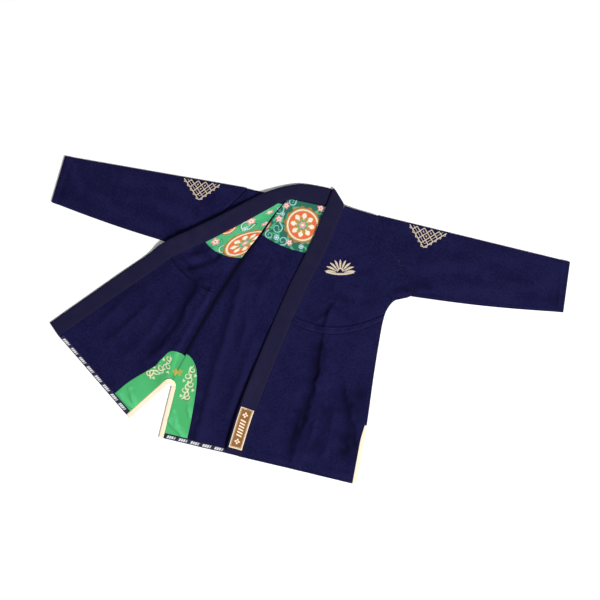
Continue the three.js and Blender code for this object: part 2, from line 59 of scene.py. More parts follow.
def to_frame(x, y, z):
    """Places in the jacket's own flat frame (millimetres, y up from the hem) as metres in the scene."""
    x, y, z = np.broadcast_arrays(x, y, z)
    return np.stack([x * MM, y * MM + HEM_Y, z * MM], axis=-1)


def laid_grid(x, y, z, u, v):
    """A grid of places and its flat pattern (u, v), both given in millimetres and kept in metres."""
    u, v = np.broadcast_arrays(u, v)
    return to_frame(x, y, z), np.stack([u * MM, v * MM], axis=-1)


# %% [markdown]
# ## The camera
#
# The photograph looks almost straight down, from a little past the neck. A jacket is symmetrical, so
# its two cuffs, hem corners and vents tell where the camera stood. A 60 mm lens on a 36 mm sensor
# makes 1000 pixels of the photograph one unit of slope.

# %% Camera
CAMERA_PLACE = (360.3, 636.9, 3172.2)
CAMERA_RIGHT = (0.97134, 0.21144, -0.10858)
CAMERA_DOWN = (0.21371, -0.97685, 0.00961)
CAMERA_AHEAD = (-0.10403, -0.03254, -0.99404)

camera_data = bpy.data.cameras.new("photo_camera")
camera_data.lens = 60
camera_data.sensor_width = 36
camera = bpy.data.objects.new("photo_camera", camera_data)
columns = [np.array(CAMERA_RIGHT), -np.array(CAMERA_DOWN), -np.array(CAMERA_AHEAD)]
turn = Matrix([[float(c[row]) for c in columns] for row in range(3)]).to_4x4()
camera.matrix_world = Matrix.Translation(to_frame(*CAMERA_PLACE).tolist()) @ turn
bpy.context.scene.collection.objects.link(camera)
bpy.context.scene.camera = camera
print("camera height", round(camera.location.z, 3), "m")

# %% [markdown]
# ## The studio
#
# A plain white sweep, one broad lamp on the right that draws the soft shadow beside each fold, and a
# weak fill from above. The white of the floor stays white, so the tones are shown as they are.

# %% Floor and lamps
floor_mesh = bpy.data.meshes.new("floor")
FLOOR_HALF, FLOOR_Z = 40.0, -0.0002
corners = [(-1, -1), (1, -1), (1, 1), (-1, 1)]
floor_mesh.from_pydata([(x * FLOOR_HALF, y * FLOOR_HALF, FLOOR_Z) for x, y in corners], [], [(0, 1, 2, 3)])
floor = bpy.data.objects.new("floor", floor_mesh)
bpy.context.scene.collection.objects.link(floor)
floor_finish = bpy.data.materials.new("white_sweep")
floor_finish.use_nodes = True
floor_shader = floor_finish.node_tree.nodes["Principled BSDF"]
floor_shader.inputs["Base Color"].default_value = (0.98, 0.98, 0.985, 1)
floor_shader.inputs["Roughness"].default_value = 0.9
floor_mesh.materials.append(floor_finish)


def lamp(name, place, aim, size, power):
    """A square studio lamp at a place, turned to face an aim."""
    data = bpy.data.lights.new(name, "AREA")
    data.shape = "SQUARE"
    data.size = size
    data.energy = power
    made = bpy.data.objects.new(name, data)
    direction = np.array(aim, float) - np.array(place, float)
    z = -direction / np.linalg.norm(direction)
    x = np.cross((0, 1, 0), z)
    x /= np.linalg.norm(x)
    y = np.cross(z, x)
    turned = Matrix([[float(v[row]) for v in (x, y, z)] for row in range(3)]).to_4x4()
    made.matrix_world = Matrix.Translation([float(v) for v in place]) @ turned
    bpy.context.scene.collection.objects.link(made)
    print("lamp:", name, power, "W")


lamp("key", (5.4, -3.5, 6.9), (0, 0, 0), 2.3, 1190)
lamp("fill", (-0.6, 0.6, 3.6), (0, 0, 0), 2.6, 18)
world = bpy.data.worlds.new("studio")
world.use_nodes = True
sky = world.node_tree.nodes["Background"]
sky.inputs["Color"].default_value = (1, 1, 1, 1)
sky.inputs["Strength"].default_value = 0.2
bpy.context.scene.world = world
bpy.context.scene.view_settings.view_transform = "Standard"
print("floor", 2 * FLOOR_HALF, "m wide")

# %% [markdown]
# ## Measures
#
# Every panel is laid out in rows from the hem up. A table gives the outline at a few rows, and a
# smooth curve through them gives the rest.


# %% Tables of measures
class Table:
    """Rows of numbers under named columns, read smoothly by the first column."""

    def __init__(self, columns, *rows):
        self.columns = dict(zip(columns.split(), np.array(rows, float).T))
        self.key = self.columns[columns.split()[0]]

    def at(self, where, column):
        key, value = self.key, self.columns[column]
        lean = np.empty_like(value)
        lean[1:-1] = (value[2:] - value[:-2]) / (key[2:] - key[:-2])
        lean[0] = (value[1] - value[0]) / (key[1] - key[0])
        lean[-1] = (value[-1] - value[-2]) / (key[-1] - key[-2])
        where = np.asarray(where, float)
        i = np.clip(np.searchsorted(key, where) - 1, 0, len(key) - 2)
        span = key[i + 1] - key[i]
        t = (where - key[i]) / span
        m0, m1 = lean[i] * span, lean[i + 1] * span
        rise = value[i + 1] - value[i]
        return value[i] + t * (m0 + t * (3 * rise - 2 * m0 - m1 + t * (m0 + m1 - 2 * rise)))


# %% Walls, gaps and levels, in millimetres
CLOTH, TAPE, LAPEL = 2.0, 1.0, 6.0
GAP = 0.35
SEWN_GAP = 0.25
SEAM = 0.3
VENT_TOP = 190
CHEST_SIDE = 527
CHEST_LAPEL = 457
CHEST_DIP = 445
UNDERARM = 621
SHOULDER = 845
NECK = 854
ARMHOLE = [UNDERARM, 658, 697, 738, 780, SHOULDER]
LAPEL_WIDTH = 52
TAPE_WIDTH = 16
FRONT_VENT_INSET = 12
FLAP_SAG = 17
COLUMNS = 84
print("body", SHOULDER, "mm high, lapel", LAPEL_WIDTH, "mm wide")

# %% Outlines

SIDE = Table(
    "row x y",
    (0, 328, 0),
    (190, 321, 190),
    (350, 309, 350),
    (470, 302, 475),
    (527, 301, 530),
    (560, 306, 565),
    (590, 325, 598),
    (621, 370, 622),
    (658, 357, 661),
    (697, 326, 700),
    (738, 291, 740),
    (780, 258, 781),
    (845, 215, 845),
)
LAPEL_FREE = Table("y x", (0, -101), (150, -88), (360, -54), (560, -15), (700, 21), (854, 52))
OPENED_SKIRT = Table(
    "row crease_x crease_y seam_x seam_y",
    (0, -435, 38, -722, 247),
    (95, -379, 114, -665, 308),
    (190, -323, 190, -609, 367),
)
OPENED_BODY = Table(
    "row crease_x crease_y seam_x seam_y",
    (190, -323, 190, -609, 367),
    (330, -289, 318, -526, 455),
    (465, -247, 445, -444, 539),
    (527, -230, 497, -408, 578),
    (621, -179, 626, -309, 652),
    (697, -140, 710, -229, 714),
    (780, -109, 784, -146, 783),
    (845, -81, 836, -86, 836),
)
FACING = Table("row width", (18, 93), (95, 90), (190, 80), (235, 68), (262, 52), (279, 32), (288, 8))


def smoothstep(value, low, high):
    t = np.clip((np.asarray(value, float) - low) / (high - low), 0, 1)
    return t * t * (3 - 2 * t)


def plateau(value, low, high, fall, end):
    """Rises from 0 to 1 between the first two values, and falls back between the last two."""
    return smoothstep(value, low, high) * (1 - smoothstep(value, fall, end))


def bell(distance, reach):
    return np.exp(-((distance / reach) ** 2))


def mix(a, b, t):
    return a + (b - a) * t


# %% [markdown]
# ## Where each panel lies
#
# A place on a panel is a row and a share of the way across it. The left front runs from its side to
# the lapel seam. The right front is turned over its crease, so its share runs from the crease out to
# the seam of its own lapel.


# %% Places on the panels
def side(row):
    return SIDE.at(row, "x"), SIDE.at(row, "y")


def lapel_section(y):
    """The seam place and the free place of the left lapel's section at a height."""
    lean = (LAPEL_FREE.at(y + 5, "x") - LAPEL_FREE.at(y - 5, "x")) / 10
    slant = np.hypot(1, lean)
    seam_x = LAPEL_FREE.at(y, "x") + LAPEL_WIDTH * slant
    return seam_x, y, seam_x - LAPEL_WIDTH / slant, y + LAPEL_WIDTH * lean / slant


def seam_height(row):
    """How high the left lapel's seam lies at a row, which bends down towards the chest."""
    upper = mix(CHEST_LAPEL, NECK, (row - CHEST_SIDE) / (SHOULDER - CHEST_SIDE))
    return np.where(row <= CHEST_SIDE, row / CHEST_SIDE * CHEST_LAPEL, upper)


def front_place(row, u):
    """A place on the left front and the lapel seam of its row. The chest rows bow like a bowl."""
    side_x, side_y = side(row)
    inset = FRONT_VENT_INSET * (1 - smoothstep(row, VENT_TOP - 60, VENT_TOP + 60))
    y = seam_height(row)
    seam_x = lapel_section(y)[0]
    chord = mix(CHEST_SIDE + 3, CHEST_LAPEL, u)
    dip = np.where(u < 0.7, 85 * (1 - u / 0.7) ** 2, 12 * (u / 0.3 - 7 / 3) ** 2)
    above = ((SHOULDER - row) / (SHOULDER - CHEST_SIDE)) ** 2
    share = np.where(row <= CHEST_SIDE, row / CHEST_SIDE, above)
    place_y = mix(side_y, y, u) + (CHEST_DIP + dip - chord) * share
    return mix(side_x - inset, seam_x + SEAM, u), place_y, seam_x


def opened_place(row, share):
    """x, y, the distance from the crease and the distance from the lapel seam."""
    ends = {}
    for column in ("crease_x", "crease_y", "seam_x", "seam_y"):
        ends[column] = np.where(row < VENT_TOP, OPENED_SKIRT.at(row, column), OPENED_BODY.at(row, column))
    rows = plateau(row, VENT_TOP, CHEST_SIDE - 60, UNDERARM, SHOULDER)
    sag = 4 * share * (1 - share) * FLAP_SAG * rows
    width = np.hypot(ends["crease_x"] - ends["seam_x"], ends["crease_y"] - ends["seam_y"])
    x = mix(ends["crease_x"], ends["seam_x"], share) - 0.41 * sag
    y = mix(ends["crease_y"], ends["seam_y"], share) - 0.91 * sag
    return x, y, width * share, width * (1 - share)


# %% [markdown]
# ## Folds
#
# Laid cloth is never quite flat. A fold is a path with a height, and a reach to either side: a steep
# flank that falls into shade and a gentle one that catches the light. A negative height makes a
# trough. The height swells and fades along the path, so that no two stretches are alike.


# %% Small unevenness
RUMPLE_CELLS = 64
rumple_grid = np.random.default_rng(11).random((RUMPLE_CELLS, RUMPLE_CELLS))


def rumple(x, y, size):
    """Smooth random height from 0 to 1, with hollows a given number of millimetres apart."""
    u, v = (np.asarray(x) + 2000) / size, (np.asarray(y) + 2000) / size
    j, i = np.floor(u).astype(int), np.floor(v).astype(int)
    u, v = u - j, v - i
    u, v = u * u * (3 - 2 * u), v * v * (3 - 2 * v)
    i, j, k, l = (n % RUMPLE_CELLS for n in (i, j, i + 1, j + 1))
    g = rumple_grid
    return mix(mix(g[i, j], g[i, l], u), mix(g[k, j], g[k, l], u), v)


def uneven(x, y, amount=1.0):
    """Broad, middling and fine unevenness together, in millimetres."""
    wide = rumple(x, y, 74) - 0.5
    close = rumple(x + 31, y, 31) - 0.5
    return amount * (2.0 * wide + 1.0 * close + 0.35 * (rumple(y, x, 14) - 0.5))


print("unevenness over a metre: up to", round(float(np.ptp(uneven(np.arange(1000.0), 0.0))), 1), "mm")


# %% A fold
def smooth_path(points, count=28):
    """A smooth curve through a few points."""
    points = np.array(points, float)
    t = np.linspace(0, len(points) - 1, count)
    keys = np.arange(len(points), dtype=float)
    table = Table("t x y", *np.column_stack([keys, points]))
    return np.stack([table.at(t, "x"), table.at(t, "y")], axis=-1)


class Fold:
    """A soft ridge (or trough) along a path, left and right being seen along it."""

    def __init__(self, height, left, right, *points, fade=0.18, wave=0.25):
        self.path = smooth_path(points)
        self.height, self.left, self.right = height, left, right
        self.fade, self.wave = fade, wave

    def over(self, x, y):
        """Its height at each place, from the nearest point of its path."""
        a, b = self.path[:-1], self.path[1:]
        run = b - a
        length = np.hypot(run[:, 0], run[:, 1])
        start = np.concatenate([[0], np.cumsum(length)])
        best = np.full(x.shape, 1e9)
        along = np.zeros(x.shape)
        across = np.zeros(x.shape)
        for i in range(len(a)):
            dx, dy = x - a[i, 0], y - a[i, 1]
            t = np.clip((dx * run[i, 0] + dy * run[i, 1]) / length[i] ** 2, 0, 1)
            away = np.hypot(dx - t * run[i, 0], dy - t * run[i, 1])
            near = away < best
            turned = np.sign(run[i, 0] * dy - run[i, 1] * dx)
            best = np.where(near, away, best)
            across = np.where(near, away * turned, across)
            along = np.where(near, (start[i] + t * length[i]) / start[-1], along)
        reach = np.where(across > 0, self.left, self.right)
        ends = plateau(along, 0, self.fade, 1 - self.fade, 1)
        swell = 1 + self.wave * np.sin(9.4 * along + self.height)
        return self.height * ends * swell * bell(across, reach)


def fold_height(folds, x, y):
    """All the folds together, their paths a little unsteady as hand-laid cloth is."""
    x, y = np.broadcast_arrays(x, y)
    sway_x = 7 * (rumple(x, y, 29) - 0.5) + 4 * (rumple(y, x, 13) - 0.5)
    sway_y = 7 * (rumple(x + 500, y, 29) - 0.5)
    return sum((fold.over(x + sway_x, y + sway_y) for fold in folds), np.zeros(np.shape(x)))


# %% The folds of each panel, their heights and reaches in millimetres
LEFT_FRONT_FOLDS = [
    Fold(8, 44, 7, (128, 542), (131, 500), (132, 430), (139, 340), (141, 270), (141, 220)),
    Fold(8, 50, 15, (139, 350), (141, 270), (139, 180), (128, 90), (113, -30), fade=0.25),
    Fold(3.4, 22, 6, (118, 250), (116, 180), (108, 100), (98, 20), wave=0.6),
    Fold(-2.5, 9, 9, (128, 300), (124, 200), (114, 110), (103, 10), wave=0.7),
    Fold(-2.6, 8, 18, (150, 230), (146, 120), (134, 20), wave=0.6),
    Fold(3.2, 30, 12, (206, 300), (216, 210), (222, 110), (214, 20), wave=0.6),
    Fold(2.4, 24, 10, (262, 240), (280, 150), (286, 40), wave=0.7),
    Fold(5, 26, 9, (222, 336), (250, 257), (281, 199), (304, 146), (318, 92), wave=0.3),
    Fold(2.6, 16, 7, (252, 300), (266, 240), (272, 170), wave=0.6),
    Fold(4.2, 7, 20, (88, 470), (104, 482), (124, 500), (142, 536), (150, 566)),
    Fold(-1.8, 9, 9, (96, 462), (112, 470), (128, 488)),
    Fold(2.4, 46, 26, (62, 400), (66, 250), (50, 110), (36, 10)),
    Fold(1.6, 14, 18, (84, 330), (90, 270), (84, 200), wave=0.7),
    Fold(1.8, 40, 40, (230, 580), (246, 500), (238, 380)),
    Fold(1.5, 22, 30, (170, 800), (190, 730), (215, 660)),
    Fold(1.4, 20, 16, (120, 610), (170, 590), (232, 600), wave=0.6),
    Fold(3, 8, 18, (298, 604), (336, 626), (384, 646)),
    Fold(1.5, 12, 12, (200, 150), (214, 100), (210, 40), wave=0.8),
]
BACK_FOLDS = [
    Fold(
        *(5.5, 50, 7, (-162, 600), (-172, 490), (-179, 390), (-187, 300)),
        *((-194, 200), (-199, 100), (-202, -20)),
        fade=0.12,
    ),
    Fold(2.6, 30, 9, (-80, 420), (-100, 260), (-124, 90)),
    Fold(2.2, 30, 8, (-140, 560), (-122, 430), (-118, 300), wave=0.6),
    Fold(1.8, 14, 8, (-226, 190), (-220, 110), (-232, 30), wave=0.6),
    Fold(1.6, 22, 9, (-60, 640), (-90, 560), (-104, 470)),
]
OPENED_FOLDS = [
    Fold(5.0, 13, 13, (-246, 556), (-264, 480), (-292, 395), (-318, 315), (-342, 258), wave=0.2),
    Fold(
        *(5.6, 24, 13, (-280, 562), (-296, 500), (-318, 432), (-338, 364), (-366, 298), (-404, 238)),
        wave=0.35,
    ),
    Fold(
        *(-3.4, 13, 30, (-300, 540), (-322, 470), (-342, 400), (-372, 330), (-408, 262), (-470, 190)),
        wave=0.35,
    ),
    Fold(3.0, 16, 9, (-330, 470), (-350, 400), (-378, 330), (-410, 270), wave=0.7),
    Fold(4.0, 34, 16, (-362, 500), (-392, 410), (-416, 340), (-456, 270), (-516, 200)),
    Fold(-7, 8, 10, (-372, 562), (-332, 566), (-298, 582), (-264, 612), (-240, 640)),
    Fold(4.6, 10, 24, (-376, 590), (-334, 594), (-296, 614), (-270, 640)),
    Fold(3.5, 30, 9, (-430, 440), (-490, 350), (-570, 240)),
    Fold(2.6, 26, 9, (-500, 460), (-556, 374), (-620, 290)),
    Fold(-4, 7, 8, (-236, 520), (-262, 512), (-300, 512), wave=0.5),
    Fold(-3, 8, 8, (-336, 552), (-372, 560), (-404, 580), wave=0.5),
]
SLEEVE_FOLDS = [
    Fold(3.0, 5, 14, (372, 640), (402, 652), (440, 668)),
    Fold(2.2, 30, 22, (300, 690), (420, 726), (600, 752)),
    Fold(1.8, 26, 20, (420, 806), (560, 790), (700, 792)),
    Fold(1.9, 18, 26, (420, 652), (560, 684), (720, 700)),
    Fold(1.5, 14, 20, (690, 690), (752, 742), (800, 806)),
    Fold(1.6, 12, 20, (560, 740), (640, 722), (740, 726), wave=0.6),
    Fold(1.8, 9, 14, (318, 622), (389, 642), (432, 668)),
    Fold(1.3, 12, 20, (300, 800), (340, 770), (352, 720), wave=0.6),
]
panel_folds = (LEFT_FRONT_FOLDS, BACK_FOLDS, OPENED_FOLDS, SLEEVE_FOLDS)
print("folds:", sum(len(folds) for folds in panel_folds))

# %% [markdown]
# Beside the main folds the cloth is painted darker, as painted shade, than its lit form alone makes it.
# These strokes have a depth of painted shade from 0 to 1 in the place of a height.

# %% Where shade is painted beside the folds
LEFT_FRONT_SHADE = [
    Fold(0.6, 16, 32, (128, 460), (134, 380), (136, 290), (130, 200), (118, 110), (100, 10), wave=0.4),
    Fold(0.3, 26, 34, (276, 330), (284, 240), (278, 150), (262, 60), wave=0.3),
    Fold(0.34, 40, 46, (236, 320), (262, 220), (286, 140), (300, 40), wave=0.4),
    Fold(0.26, 26, 26, (176, 250), (182, 160), (176, 40), wave=0.6),
    Fold(0.55, 5, 8, (306, 612), (336, 628), (376, 644)),
    Fold(0.22, 10, 24, (90, 455), (112, 468), (140, 508), wave=0.4),
]
OPENED_SHADE = [
    Fold(
        *(0.5, 12, 30, (-278, 556), (-304, 500), (-326, 430), (-350, 360), (-384, 290), (-430, 226)),
        wave=0.3,
    ),
    Fold(0.3, 12, 16, (-360, 556), (-320, 566), (-282, 590), (-250, 620), wave=0.4),
    Fold(0.3, 12, 12, (-330, 626), (-296, 610), (-270, 600), wave=0.5),
    Fold(0.22, 20, 14, (-300, 512), (-262, 520), (-236, 530), wave=0.4),
]
SLEEVE_SHADE = [
    Fold(0.55, 5, 9, (366, 636), (396, 650), (436, 668)),
    Fold(0.25, 18, 18, (700, 700), (770, 704), (836, 712), wave=0.5),
    Fold(0.2, 16, 20, (300, 800), (340, 770), (352, 720), wave=0.5),
]


def painted_fold_shade(shades, x, y, most, low, high):
    """How deep the painted shade is, in patches."""
    return fold_height(shades, x, y).clip(0, most) * (low + high * rumple(x, y, 19))


# %% [markdown]
# ## How cloth settles on cloth
#
# A pile keeps the height that the cloth laid so far reaches, in small square cells. The next sheet
# takes the form of that pile, a little wider and softer, as thick cotton does over an edge.

# %% The pile
CELL = 3.0
PILE_X, PILE_Y = -906.0, -60.0
PILE_SHAPE = (340, 604)


def finer(values):
    """A grid of values with two more rows and columns between each two."""
    for axis in (0, 1):
        values = np.moveaxis(values, axis, 0)
        t = np.linspace(0, len(values) - 1, (len(values) - 1) * 3 + 1)
        i = np.minimum(t.astype(int), len(values) - 2)
        values = mix(values[i], values[i + 1], (t - i)[:, None])
        values = np.moveaxis(values, 0, axis)
    return values


def shifted(values, dx, dy):
    """The grid moved by whole cells, with nothing coming in at the edge."""
    out = np.zeros_like(values)
    h, w = values.shape
    out[max(dy, 0) : h + min(dy, 0), max(dx, 0) : w + min(dx, 0)] = values[
        max(-dy, 0) : h + min(-dy, 0), max(-dx, 0) : w + min(-dx, 0)
    ]
    return out


class Pile:
    """The height of the upper faces of the sheets that lie there so far."""

    def __init__(self, *sheets):
        self.top = np.zeros(PILE_SHAPE)
        for sheet in sheets:
            x, y, z = (finer(v) for v in np.broadcast_arrays(*sheet))
            i = np.round((y - PILE_Y) / CELL).astype(int)
            j = np.round((x - PILE_X) / CELL).astype(int)
            np.maximum.at(self.top, (i, j), z)

    def settled(self, reach=15, slope=0.28, soft=4):
        """The softened form that the next sheet takes."""
        form = self.top.copy()
        cells = int(math.ceil(reach / CELL))
        for dx, dy in ((1, 0), (0, 1)):
            start = form.copy()
            for n in range(1, cells + 1):
                form = np.maximum(form, shifted(start, n * dx, n * dy))
                form = np.maximum(form, shifted(start, -n * dx, -n * dy))
        fall = slope * CELL
        for _ in range(int(form.max() / fall) + 1):
            for dx, dy in ((1, 0), (-1, 0), (0, 1), (0, -1)):
                form = np.maximum(form, shifted(form, dx, dy) - fall)
            for dx, dy in ((1, 1), (-1, 1), (1, -1), (-1, -1)):
                form = np.maximum(form, shifted(form, dx, dy) - fall * 1.414)
        for _ in range(soft):
            beside = shifted(form, 1, 0), shifted(form, -1, 0), shifted(form, 0, 1), shifted(form, 0, -1)
            form = sum(beside, form) / 5
        return Form(form)

    def as_laid(self):
        """The form just as it lies, for what is sewn on top. Empty cells take a neighbour's height."""
        form = self.top
        for dx, dy in ((1, 0), (0, 1)) * 2:
            beside = np.maximum(shifted(form, dx, dy), shifted(form, -dx, -dy))
            form = np.where(form > 0, form, beside)
        return Form(form)


class Form:
    """A height in every cell, read smoothly anywhere."""

    def __init__(self, height):
        self.height = height

    def at(self, x, y):
        u, v = (x - PILE_X) / CELL, (y - PILE_Y) / CELL
        j, i = np.floor(u).astype(int), np.floor(v).astype(int)
        u, v, h = u - j, v - i, self.height
        return mix(mix(h[i, j], h[i, j + 1], u), mix(h[i + 1, j], h[i + 1, j + 1], u), v)

    def rest(self, x, y, wall=CLOTH):
        """Height of the middle of a wall that lies here."""
        height = self.at(x, y)
        return height + wall / 2 + np.minimum(GAP, height)


# %% [markdown]
# ## From grids to sheets
#
# A sheet is a grid of places in the middle of the cloth. Its UV map is the flat pattern in metres,
# so the weave runs with the thread wherever the panel goes. A Solidify modifier gives it the real
# thickness.


# %% Sheets
def spaced(low, high, step):
    """Even steps from low to high, near the size asked for."""
    return np.linspace(low, high, max(2, int(round((high - low) / step)) + 1))


def rows_between(keys, step=6.0):
    """Even steps that don't miss any of the keys."""
    parts = [spaced(a, b, step)[:-1] for a, b in zip(keys[:-1], keys[1:])]
    return np.concatenate(parts + [[keys[-1]]])


def softened(values):
    """Each value averaged with its neighbours in the grid, three to each side."""
    for axis in (0, 1):
        values = np.moveaxis(values, axis, 0)
        padded = np.concatenate([values[:1].repeat(3, 0), values, values[-1:].repeat(3, 0)])
        values = sum(padded[k : k + len(values)] for k in range(7)) / 7
        values = np.moveaxis(values, 0, axis)
    return values


# %% [markdown]
# Where a tube or a band closes on itself, two places of the grid fall together. They become one
# point, so the wall is closed and its two sides keep their own places in the flat pattern.

# %% A mesh from grids
SAME_PLACE = 5e-6
kept_places = {}


def sheet_mesh(name, grids, finish, wall=0.0, painted_deep_shade=None):
    """One mesh from grids of places and their flat pattern.

    Each point also gets painted shading from 0 to 1: hollows are painted darker as shade, ridges paler as
    light. Where deeper shade is painted, in creases and beside folds, it goes to its darkest, at -1.
    """
    places, faces, uvs, painted_shading_values, offset = [], [], [], [], 0
    for xyz, uv in grids:
        height = xyz[..., 2] / MM
        # Painted shade in the hollows and painted light on the ridges, from each height against its softened
        # height.
        wear_and_painted_shade = np.clip(0.5 + 0.4 * (height - softened(height)), 0, 1)
        # The deeper painted shade asked for pulls the value down towards -1.
        if painted_deep_shade is not None and not painted_shading_values:
            wear_and_painted_shade = mix(wear_and_painted_shade, -1, painted_deep_shade)
        painted_shading_values.append(wear_and_painted_shade.reshape(-1))
        rows, cols = xyz.shape[:2]
        index = offset + np.arange(rows * cols).reshape(rows, cols)
        quads = np.stack([index[:-1, :-1], index[:-1, 1:], index[1:, 1:], index[1:, :-1]], axis=-1)
        places.append(xyz.reshape(-1, 3))
        uvs.append(uv.reshape(-1, 2))
        faces.append(quads.reshape(-1, 4))
        offset += rows * cols
    places, uvs, faces = np.concatenate(places), np.concatenate(uvs), np.concatenate(faces)
    cells = np.round(places / SAME_PLACE).astype(np.int64)
    _, first, same = np.unique(cells, axis=0, return_index=True, return_inverse=True)
    order = np.argsort(first)
    rank = np.empty_like(order)
    rank[order] = np.arange(len(order))
    first = first[order]
    merged = rank[same.reshape(-1)][faces]
    kept, corners = [], []
    for quad, own in zip(merged, faces):
        keep = [k for k in range(4) if quad[k] != quad[k - 1]]
        if len({int(quad[k]) for k in keep}) >= 3:
            kept.append([int(quad[k]) for k in keep])
            corners.extend(own[k] for k in keep)
    kept_places[name] = first
    mesh = bpy.data.meshes.new(name)
    mesh.from_pydata(places[first].tolist(), [], kept)
    layer = mesh.uv_layers.new(name="pattern")
    layer.data.foreach_set("uv", uvs[np.array(corners)].astype(np.float32).ravel())
    mesh.polygons.foreach_set("use_smooth", [True] * len(mesh.polygons))
    mesh.materials.append(finish)
    # The painted shading goes on each point as an attribute, read by the cloth finishes.
    painted_shading = mesh.attributes.new("wear_and_painted_shade", "FLOAT", "POINT")
    painted_shading.data.foreach_set("value", np.concatenate(painted_shading_values)[first].astype(np.float32))
    mesh.validate()
    mesh.update()
    made = bpy.data.objects.new(name, mesh)
    bpy.context.scene.collection.objects.link(made)
    if wall:
        thick = made.modifiers.new("wall", "SOLIDIFY")
        thick.thickness = wall * MM
        thick.offset = 0
    return made


# %% The cut of a sheet
LEAST_CUT = 0.3


def flat_size(made):
    """Width, length and area of the flat pattern, from the UV map."""
    mesh = made.data
    uv = np.empty(len(mesh.loops) * 2, np.float32)
    mesh.uv_layers["pattern"].data.foreach_get("uv", uv)
    uv = uv.reshape(-1, 2).astype(float)
    area = 0.0
    for face in mesh.polygons:
        ring = uv[face.loop_start : face.loop_start + face.loop_total]
        x, y = ring[:, 0], ring[:, 1]
        area += abs(np.dot(x, np.roll(y, -1)) - np.dot(y, np.roll(x, -1))) / 2
    size = uv.max(axis=0) - uv.min(axis=0)
    return float(size[0]), float(size[1]), float(area)


def run_lengths(x, y, z, axis):
    """How far each place lies along its row or column, measured on the cloth."""
    step = sum(np.diff(v, axis=axis) ** 2 for v in np.broadcast_arrays(x, y, z)) ** 0.5
    zero = np.zeros_like(np.take(step, [0], axis=axis))
    return np.concatenate([zero, np.cumsum(step, axis=axis)], axis=axis)


def sewn_in(made, node):
    """Hangs a finished sheet from the root, hides the solid that it stands for, and prints its cut."""
    width, length, area = flat_size(made)
    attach(made, "root")
    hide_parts(node)
    area = max(min(area, width * length), LEAST_CUT * width * length)
    print(f"{made.name}: cut {width:.3f} x {length:.3f} m, {area:.3f} m2, {len(made.data.polygons)} faces")


# %% [markdown]
# ## Writing finishes as sums
#
# Shader graphs are hard to read as lists of links. A small class wraps a socket, so that a weave can
# be written the way it is thought of, as a sum of waves.


# %% Finishes as expressions
class Wire:
    """A number that changes over the surface. Sums on it add Math nodes."""

    def __init__(self, finish, socket):
        self.finish, self.socket = finish, socket

    def _sum(self, operation, *values):
        return self.finish.node("ShaderNodeMath", dict(enumerate(values)), operation=operation)

    def __add__(self, other):
        return self._sum("ADD", self, other)

    def __sub__(self, other):
        return self._sum("SUBTRACT", self, other)

    def __rsub__(self, other):
        return self._sum("SUBTRACT", other, self)

    def __mul__(self, other):
        return self._sum("MULTIPLY", self, other)

    def __truediv__(self, other):
        return self._sum("DIVIDE", self, other)

    __radd__, __rmul__ = __add__, __mul__

    def sin(self):
        return self._sum("SINE", self)

    def absolute(self):
        return self._sum("ABSOLUTE", self)

    def floor(self):
        return self._sum("FLOOR", self)

    def fraction(self):
        return self._sum("FRACT", self)

    def above(self, level):
        return self._sum("GREATER_THAN", self, level)

    def at_most(self, level):
        return self._sum("MINIMUM", self, level)

    def at_least(self, level):
        return self._sum("MAXIMUM", self, level)


class Finish:
    """One material. Constants go straight on the shader's sockets."""

    def __init__(self, name, **constants):
        self.material = bpy.data.materials.new(name)
        self.material.use_nodes = True
        self.tree = self.material.node_tree
        self.shader = self.tree.nodes["Principled BSDF"]
        for socket, value in constants.items():
            self.shader.inputs[socket.replace("_", " ")].default_value = value

    def node(self, kind, values=None, out=0, stops=None, **settings):
        made = self.tree.nodes.new(kind)
        for key, value in settings.items():
            setattr(made, key, value)
        if stops:
            ramp = made.color_ramp
            while len(ramp.elements) < len(stops):
                ramp.elements.new(0.5)
            for element, (place, colour) in zip(ramp.elements, stops):
                element.position, element.color = place, (*colour, 1)
        for key, value in (values or {}).items():
            if isinstance(value, Wire):
                self.tree.links.new(value.socket, made.inputs[key])
            else:
                made.inputs[key].default_value = value
        return Wire(self, made.outputs[out])

    def pattern(self):
        """The flat pattern's two directions, in metres."""
        place = self.node("ShaderNodeUVMap", uv_map="pattern")
        return tuple(self.node("ShaderNodeSeparateXYZ", {0: place}, out=k) for k in (0, 1))

    def noise(self, scale, detail=2.0, roughness=0.5):
        place = self.node("ShaderNodeTexCoord", out=3)
        values = {"Vector": place, "Scale": scale, "Detail": detail, "Roughness": roughness}
        return self.node("ShaderNodeTexNoise", values)

    def tint(self, factor, a, b):
        """A colour between two colours, which may themselves be wires."""
        a, b = ((*c, 1) if isinstance(c, tuple) else c for c in (a, b))
        return self.node("ShaderNodeMix", {0: factor, 6: a, 7: b}, out=2, data_type="RGBA")

    def painted(self, name):
        return self.node("ShaderNodeAttribute", attribute_name=name)

    # The painted shading of each point: shade in hollows and creases, light on ridges.
    def painted_shading(self):
        return self.node("ShaderNodeAttribute", out=2, attribute_name="wear_and_painted_shade")

    def bump(self, height, strength, distance):
        normal = self.node("ShaderNodeBump", {"Height": height, "Strength": strength, "Distance": distance})
        self.tree.links.new(normal.socket, self.shader.inputs["Normal"])

    def set(self, socket, wire):
        self.tree.links.new(wire.socket, self.shader.inputs[socket])


# %% [markdown]
# ## The cloths
#
# The body is pearl weave: rows of rice-like grains, each row set half a grain along. The dye has
# settled unevenly and the high grains have rubbed paler. The lapel is a tighter ripstop with a
# faint square grid. Thread, tapes and linings are plain.

# %% Cloth finishes
NAVY = (0.0053, 0.0046, 0.0395)
NAVY_PALE = (0.0104, 0.0096, 0.0545)
NAVY_DEEP = (0.0030, 0.0025, 0.0270)
